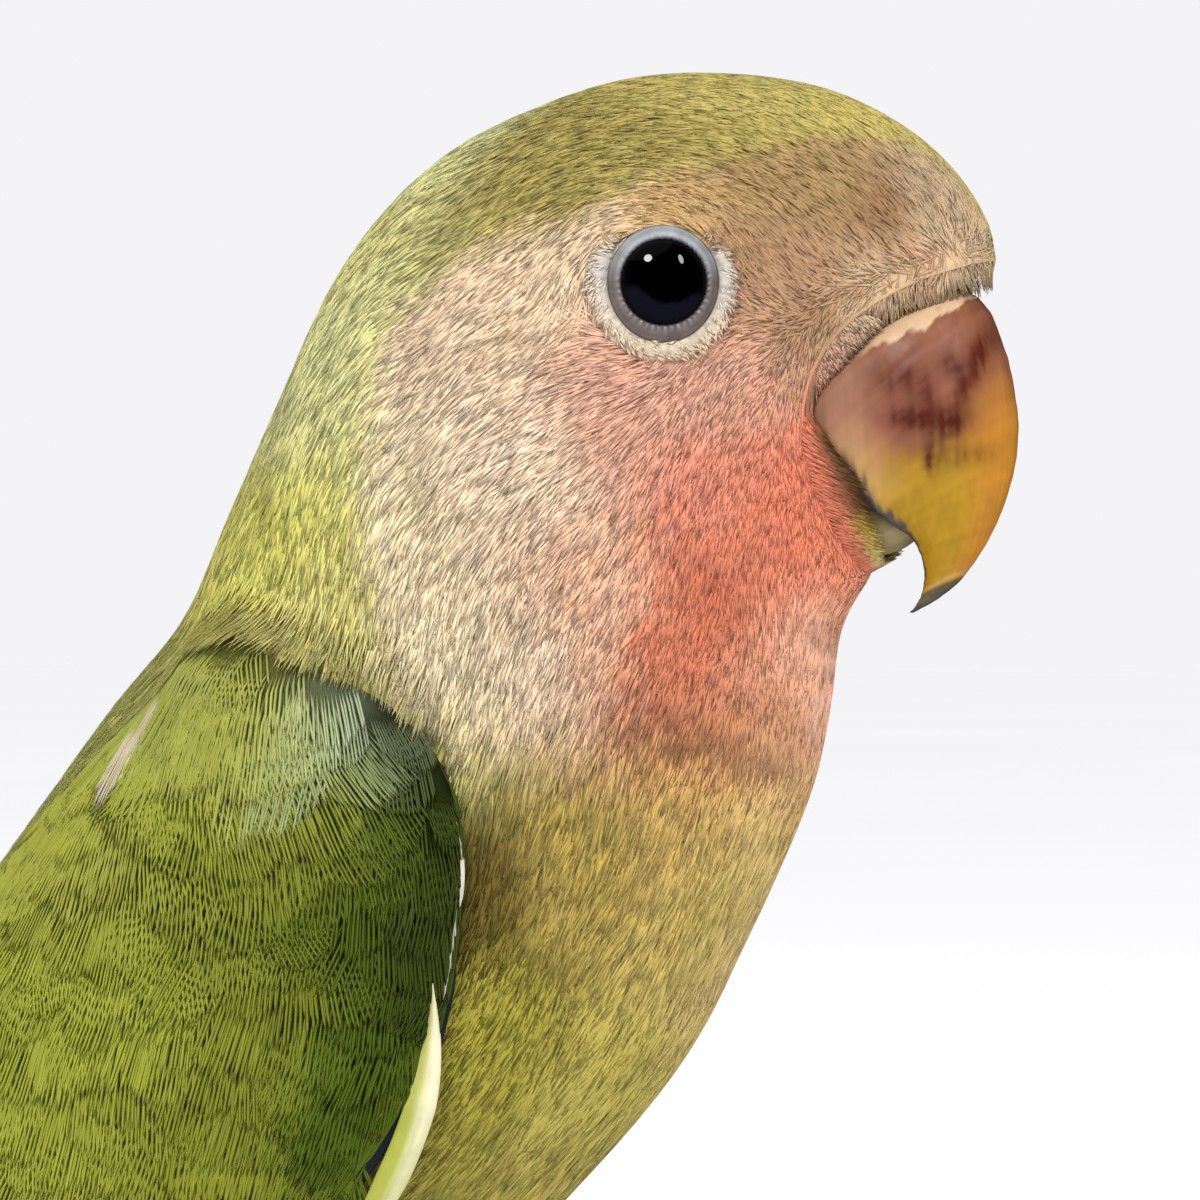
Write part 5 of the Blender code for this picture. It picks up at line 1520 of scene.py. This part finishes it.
def make_tail(vane_material):
    """Twelve rounded feathers, green above, the outer ones banded rufous and black near their tips."""
    turn = math.radians(TAIL_SLOPE)
    ahead = np.array([-math.cos(turn), 0.0, -math.sin(turn)])
    up = np.array([-math.sin(turn), 0.0, math.cos(turn)])
    start = np.array([TAIL_START[0], 0.0, TAIL_START[1]])
    share = np.linspace(0.0, 1.0, 30)
    rows, layers = [], []
    for layer in range(TAIL_LAYERS):
        for hand in (-1.0, 1.0):
            splay = math.radians(1.0 + 2.2 * layer) * hand
            lean = ahead * math.cos(splay) + np.array([0.0, math.sin(splay), 0.0])
            side = np.array([0.0, 1.0, 0.0]) * math.cos(splay) - ahead * math.sin(splay)
            height = TAIL_TOP - 0.15 - TAIL_STEP * (layer + (1 if layer or hand > 0 else 0))
            root = start - ahead * 3.5 + np.array([0.0, (0.9 + 0.75 * layer) * hand, 0.0]) + up * height
            length = TAIL_LENGTH + 3.3 - 0.25 * layer**2
            middles = root + lean * (length * share)[:, None]
            half = np.interp(share, *QUILL_SHAPE.T) * TAIL_FEATHER / 2
            inner = half if layer == 0 else np.minimum(half, np.maximum(np.abs(middles[:, 1]) - 0.1, 0.3))
            near, far = (inner, half) if hand > 0 else (half, inner)
            normals = np.repeat(up[None, :], len(share), axis=0)
            sides = np.repeat(side[None, :], len(share), axis=0)
            parts = vane_parts(middles, sides, normals, near, far, camber=0.25)
            rows.append((*parts, share, 24.0, 180.0 + 12.0 * layer * hand))
            layers.append(layer)
    green, rust = linear(92, 128, 46), linear(196, 74, 38)
    black, sky = linear(26, 26, 24), linear(66, 120, 130)

    def paint(number, along, across):
        base = np.tile(green, (len(along), 1))
        if layers[number] > 0:
            for colour, low, high in ((rust, 0.42, 0.68), (black, 0.68, 0.78), (sky, 0.78, 0.86)):
                band = smooth(along, low - 0.03, low + 0.03) * smooth(along, high + 0.03, high - 0.03)
                base = blend(base, colour, band[:, None])
        shaft = on_shaft(across)[:, None] * 0.5
        return base * (1 - shaft)

    vane_piece("tail_feathers", rows, paint, vane_material, "tail", ("tail",))


# Legs.

# Height of a toe's middle line at stations along it.
TOE_HEIGHTS = (2.6, 1.9, 1.35, 1.2, 1.1, 1.1, 1.1)
TOES = [    # name, direction in degrees off ahead, length, length of its claw
    ("front_inner", -12.0, 11.0, 3.8), ("front_outer", 14.0, 14.5, 4.6),
    ("back_outer", 152.0, 12.5, 4.4), ("back_inner", -160.0, 7.5, 3.8),
]


def limb_rows(path, radii, rows, sides):
    """A smooth path's points and radii, unit vectors outwards round it, their turns and the distance walked."""
    table = np.column_stack([path, radii])
    place = np.linspace(0.0, len(table) - 1.0, rows)
    smooth_table = between(table, place)
    middles, radius = smooth_table[:, :3], smooth_table[:, 3]
    ahead = unit(np.gradient(middles, axis=0))
    side = unit(np.cross(ahead, np.array([0.0, 1.0, 0.0]) + 0.3 * np.array([0.0, 0.0, 1.0])))
    top = np.cross(side, ahead)
    turn = np.arange(sides)[None, :] * 2 * math.pi / sides
    out = np.cos(turn)[..., None] * top[:, None] + np.sin(turn)[..., None] * side[:, None]
    walked = walked_along(middles)
    return middles, radius, out, turn, walked


def scaly_limb(path, radii, rows, sides, pitch):
    """A limb covered in small rounded scales, with its paint."""
    middles, radius, out, turn, walked = limb_rows(np.array(path, float), radii, rows, sides)
    around = max(5, round(2 * math.pi * float(np.mean(radii)) / pitch))
    band = walked[:, None] / pitch
    shift = (np.floor(band) % 2) * 0.5
    cell_a = np.abs((band % 1.0) - 0.5) * 2
    cell_b = np.abs(((turn / (2 * math.pi) * around + shift) % 1.0) - 0.5) * 2
    scale = np.clip(1 - (cell_a**3 + cell_b**3), 0.0, 1.0) ** 0.5
    grow_out = radius[:, None] + 0.09 * scale - 0.05
    share = np.linspace(0.0, 1.0, rows)
    grow_out = grow_out * np.sqrt(np.clip((1 - share) / 0.03, 0.02, 1.0))[:, None]
    grid = middles[:, None] + out * grow_out[..., None]
    points, faces = tube(grid)
    pale, dark = linear(150, 142, 138), linear(82, 76, 76)
    paint = blend(dark, pale, scale[..., None]).reshape(-1, 3)
    return points, faces, np.concatenate([paint, paint[:1], paint[-1:]])


def join_parts(parts):
    """Points, faces and paint of several closed meshes as one."""
    points, quads, triangles, paints = [], [], [], []
    start = 0
    for spots, faces, paint in parts:
        for group in faces:
            (quads if group.shape[1] == 4 else triangles).append(group + start)
        points.append(spots)
        paints.append(paint)
        start += len(spots)
    return np.concatenate(points), [np.concatenate(quads), np.concatenate(triangles)], np.concatenate(paints)


def make_leg(side, mirror, leg_material, claw_material):
    """Scaly shank and toes, two ahead and two behind, with curved claws."""
    ankle, foot = np.array([ANKLE[0], -LEG_SIDE, ANKLE[1]]), np.array([FOOT[0], -LEG_SIDE, FOOT[1]])
    hip = np.array([HIP[0], -LEG_SIDE + 0.5, HIP[1]])
    shares = (0.0, 0.07, 0.25, 0.5, 0.8, 1.0)
    path = [ankle + (hip - ankle) * 0.2] + [ankle + (foot - ankle) * share for share in shares]
    parts = [scaly_limb(path, (1.2, 1.85, 1.8, 1.4, 1.3, 1.4, 1.8), 90, 36, 0.75)]
    claws = []
    for _, direction, length, claw_length in TOES:
        turn = math.radians(direction)
        ahead = np.array([math.cos(turn), -math.sin(turn), 0.0])
        start = np.array([FOOT[0], -LEG_SIDE, FLOOR_Z])
        toe = [start + ahead * length * step + (0, 0, height)
               for step, height in zip((0.0, 0.18, 0.36, 0.52, 0.68, 0.84, 1.0), TOE_HEIGHTS)]
        spots, faces, paint = scaly_limb(toe, (1.5, 1.35, 1.2, 1.32, 1.1, 1.2, 0.85), 80, 28, 0.62)
        spots[:, 2] = np.maximum(spots[:, 2], FLOOR_Z + 0.02)
        parts.append((spots, faces, paint))
        root = toe[-1] - ahead * 0.35
        reach = claw_length + 0.6
        steps = np.array([0.0, 0.2, 0.4, 0.6, 0.8, 0.93, 1.0])
        bow = root + ahead * (reach * steps * (1 - 0.12 * steps))[:, None]
        bow[:, 2] += 0.42 * np.sin(math.pi * steps * 0.9) - 0.98 * steps**2
        middles, radius, out, _, _ = limb_rows(bow, (0.66, 0.66, 0.58, 0.44, 0.28, 0.14, 0.05), 40, 20)
        points, faces = tube(middles[:, None] + out * radius[:, None, None])
        points[:, 2] = np.maximum(points[:, 2], FLOOR_Z + 0.01)
        share = np.append(np.repeat(np.linspace(0.0, 1.0, 40), 20), [0.0, 1.0])[:, None]
        claws.append((points, faces, blend(linear(120, 108, 100), linear(44, 38, 36), share)))
    points, faces, paint = join_parts(parts)
    dress(mesh_object(f"leg_scales_{side}", points * (1.0, mirror, 1.0), faces, paint, turn_out=True),
          leg_material, "leg", f"leg_{side}")
    points, faces, paint = join_parts(claws)
    dress(mesh_object(f"claws_{side}", points * (1.0, mirror, 1.0), faces, paint, turn_out=True),
          claw_material, "claw", *[f"claw_{toe[0]}_{side}" for toe in TOES])


# Floor, camera and lights.

TARGET = Vector((0.0391, 0.0, 0.0757))
DISTANCE = 0.3
AZIMUTH = 15.0
LENS = 162.0
TOP_POWER = 0.35
KEY_PLACE, KEY_POWER = (0.0018, -0.8147, 0.6872), 6.0
SECOND_PLACE, SECOND_POWER = (0.7283, -0.4894, 0.6464), 2.5
LAMP_COLOUR = (1.0, 0.985, 0.96)
FLOOR_HALF = 6.0


def make_floor():
    """A pale floor, wide enough to fill the picture."""
    mesh = bpy.data.meshes.new("floor")
    corners = [(-FLOOR_HALF, -FLOOR_HALF, 0), (FLOOR_HALF, -FLOOR_HALF, 0), (FLOOR_HALF, FLOOR_HALF, 0),
               (-FLOOR_HALF, FLOOR_HALF, 0)]
    mesh.from_pydata(corners, [], [(0, 1, 2, 3)])
    floor = place_object("floor", mesh)
    made, tree, principled = new_shader("floor", 0.9, 0.0)
    soft = ramp(tree, noise(tree, 3.0), [(0.3, (0.885, 0.885, 0.89)), (0.7, (0.905, 0.905, 0.91))])
    tree.links.new(soft, principled.inputs["Base Color"])
    mesh.materials.append(made)
    floor.visible_glossy = False


def aim(thing):
    """Turns a camera or lamp towards the target."""
    thing.rotation_euler = (TARGET - thing.location).to_track_quat("-Z", "Y").to_euler()


def make_camera():
    """The photo's view: a long lens from the bird's right side."""
    camera = place_object("camera", bpy.data.cameras.new("camera"))
    turn = math.radians(AZIMUTH)
    camera.location = TARGET + DISTANCE * Vector((math.sin(turn), -math.cos(turn), 0.0))
    aim(camera)
    camera.data.lens = LENS
    camera.data.sensor_width = 36.0
    camera.data.clip_start = 0.005
    bpy.context.scene.camera = camera


def add_lamp(name, place, power, size, size_y):
    """A soft oval lamp that points at the target."""
    light = bpy.data.lights.new(name, "AREA")
    light.shape = "ELLIPSE"
    light.size = size
    light.size_y = size_y
    light.energy = power
    light.color = LAMP_COLOUR
    lamp = place_object(name, light)
    lamp.location = place
    aim(lamp)


def make_lights():
    """Soft studio light: an even pale world, a broad light from above and two lamps that glint in the eye."""
    world = bpy.data.worlds.new("studio")
    bpy.context.scene.world = world
    world.use_nodes = True
    back = world.node_tree.nodes["Background"]
    back.inputs["Color"].default_value = (*linear(244, 243, 246), 1.0)
    back.inputs["Strength"].default_value = 1.0
    world.cycles_visibility.glossy = False
    bpy.context.scene.view_settings.view_transform = "Standard"
    sky = bpy.data.lights.new("top", "SUN")
    sky.energy = TOP_POWER
    sky.angle = math.radians(70.0)
    place_object("top", sky).rotation_euler = (math.radians(20.0), math.radians(-12.0), 0.0)
    add_lamp("key", KEY_PLACE, KEY_POWER, 0.2, 0.2)
    add_lamp("second", SECOND_PLACE, SECOND_POWER, 0.12, 0.24)


# The whole bird.

coat_material = feather_shader("coat")
skin_material = feather_shader("skin", 0.8, 0.1, 700.0)
wing_material = feather_shader("wing_barbs", 0.55, 0.14, 700.0)
vane_material = vane_shader("vanes")
lid_material = feather_shader("lids", 0.5, 0.35, 3000.0, 0.00003)
horn_material = feather_shader("horn_upper", 0.42, 0.3, 500.0, 0.00001)
lower_material = feather_shader("horn_lower", 0.5, 0.3, 600.0, 0.00001)
leg_material = feather_shader("leg_skin", 0.55, 0.35, 1200.0, 0.00002)
claw_material = feather_shader("claw_horn", 0.35, 0.5, 900.0, 0.00001)
eye_material, _, eye_nodes = new_shader("eye_gloss", 0.03, 0.15)
eye_tree = eye_material.node_tree
eye_tree.links.new(painted(eye_tree), eye_nodes.inputs["Base Color"])

make_camera()
make_lights()
make_floor()
dress(make_skin(), skin_material, "belly", "head", "neck", "torso", "rump", "thigh_left", "thigh_right")
plumage_coat(coat_material)
gape_feathers(coat_material)
thigh_coat(coat_material)
for hand, mirror in SIDES:
    make_eye(f"eyeball_{hand}", f"eye_{hand}", mirror, eye_material)
    make_lid(f"lids_{hand}", mirror, lid_material)
    eye_feathers(f"coat_eye_{hand}", mirror, coat_material)
    make_wing_arm(f"arm_{hand}", mirror, skin_material, f"wing_{hand}")
    wing_coverts(f"coverts_{hand}", mirror, wing_material)
    make_flight_feathers(hand, mirror, vane_material)
    make_wing_edge(hand, mirror, wing_material)
    make_scapulars(f"scapulars_{hand}", mirror, wing_material)
    make_leg(hand, mirror, leg_material, claw_material)
make_upper_bill(horn_material)
make_lower_bill(lower_material)
make_tail(vane_material)
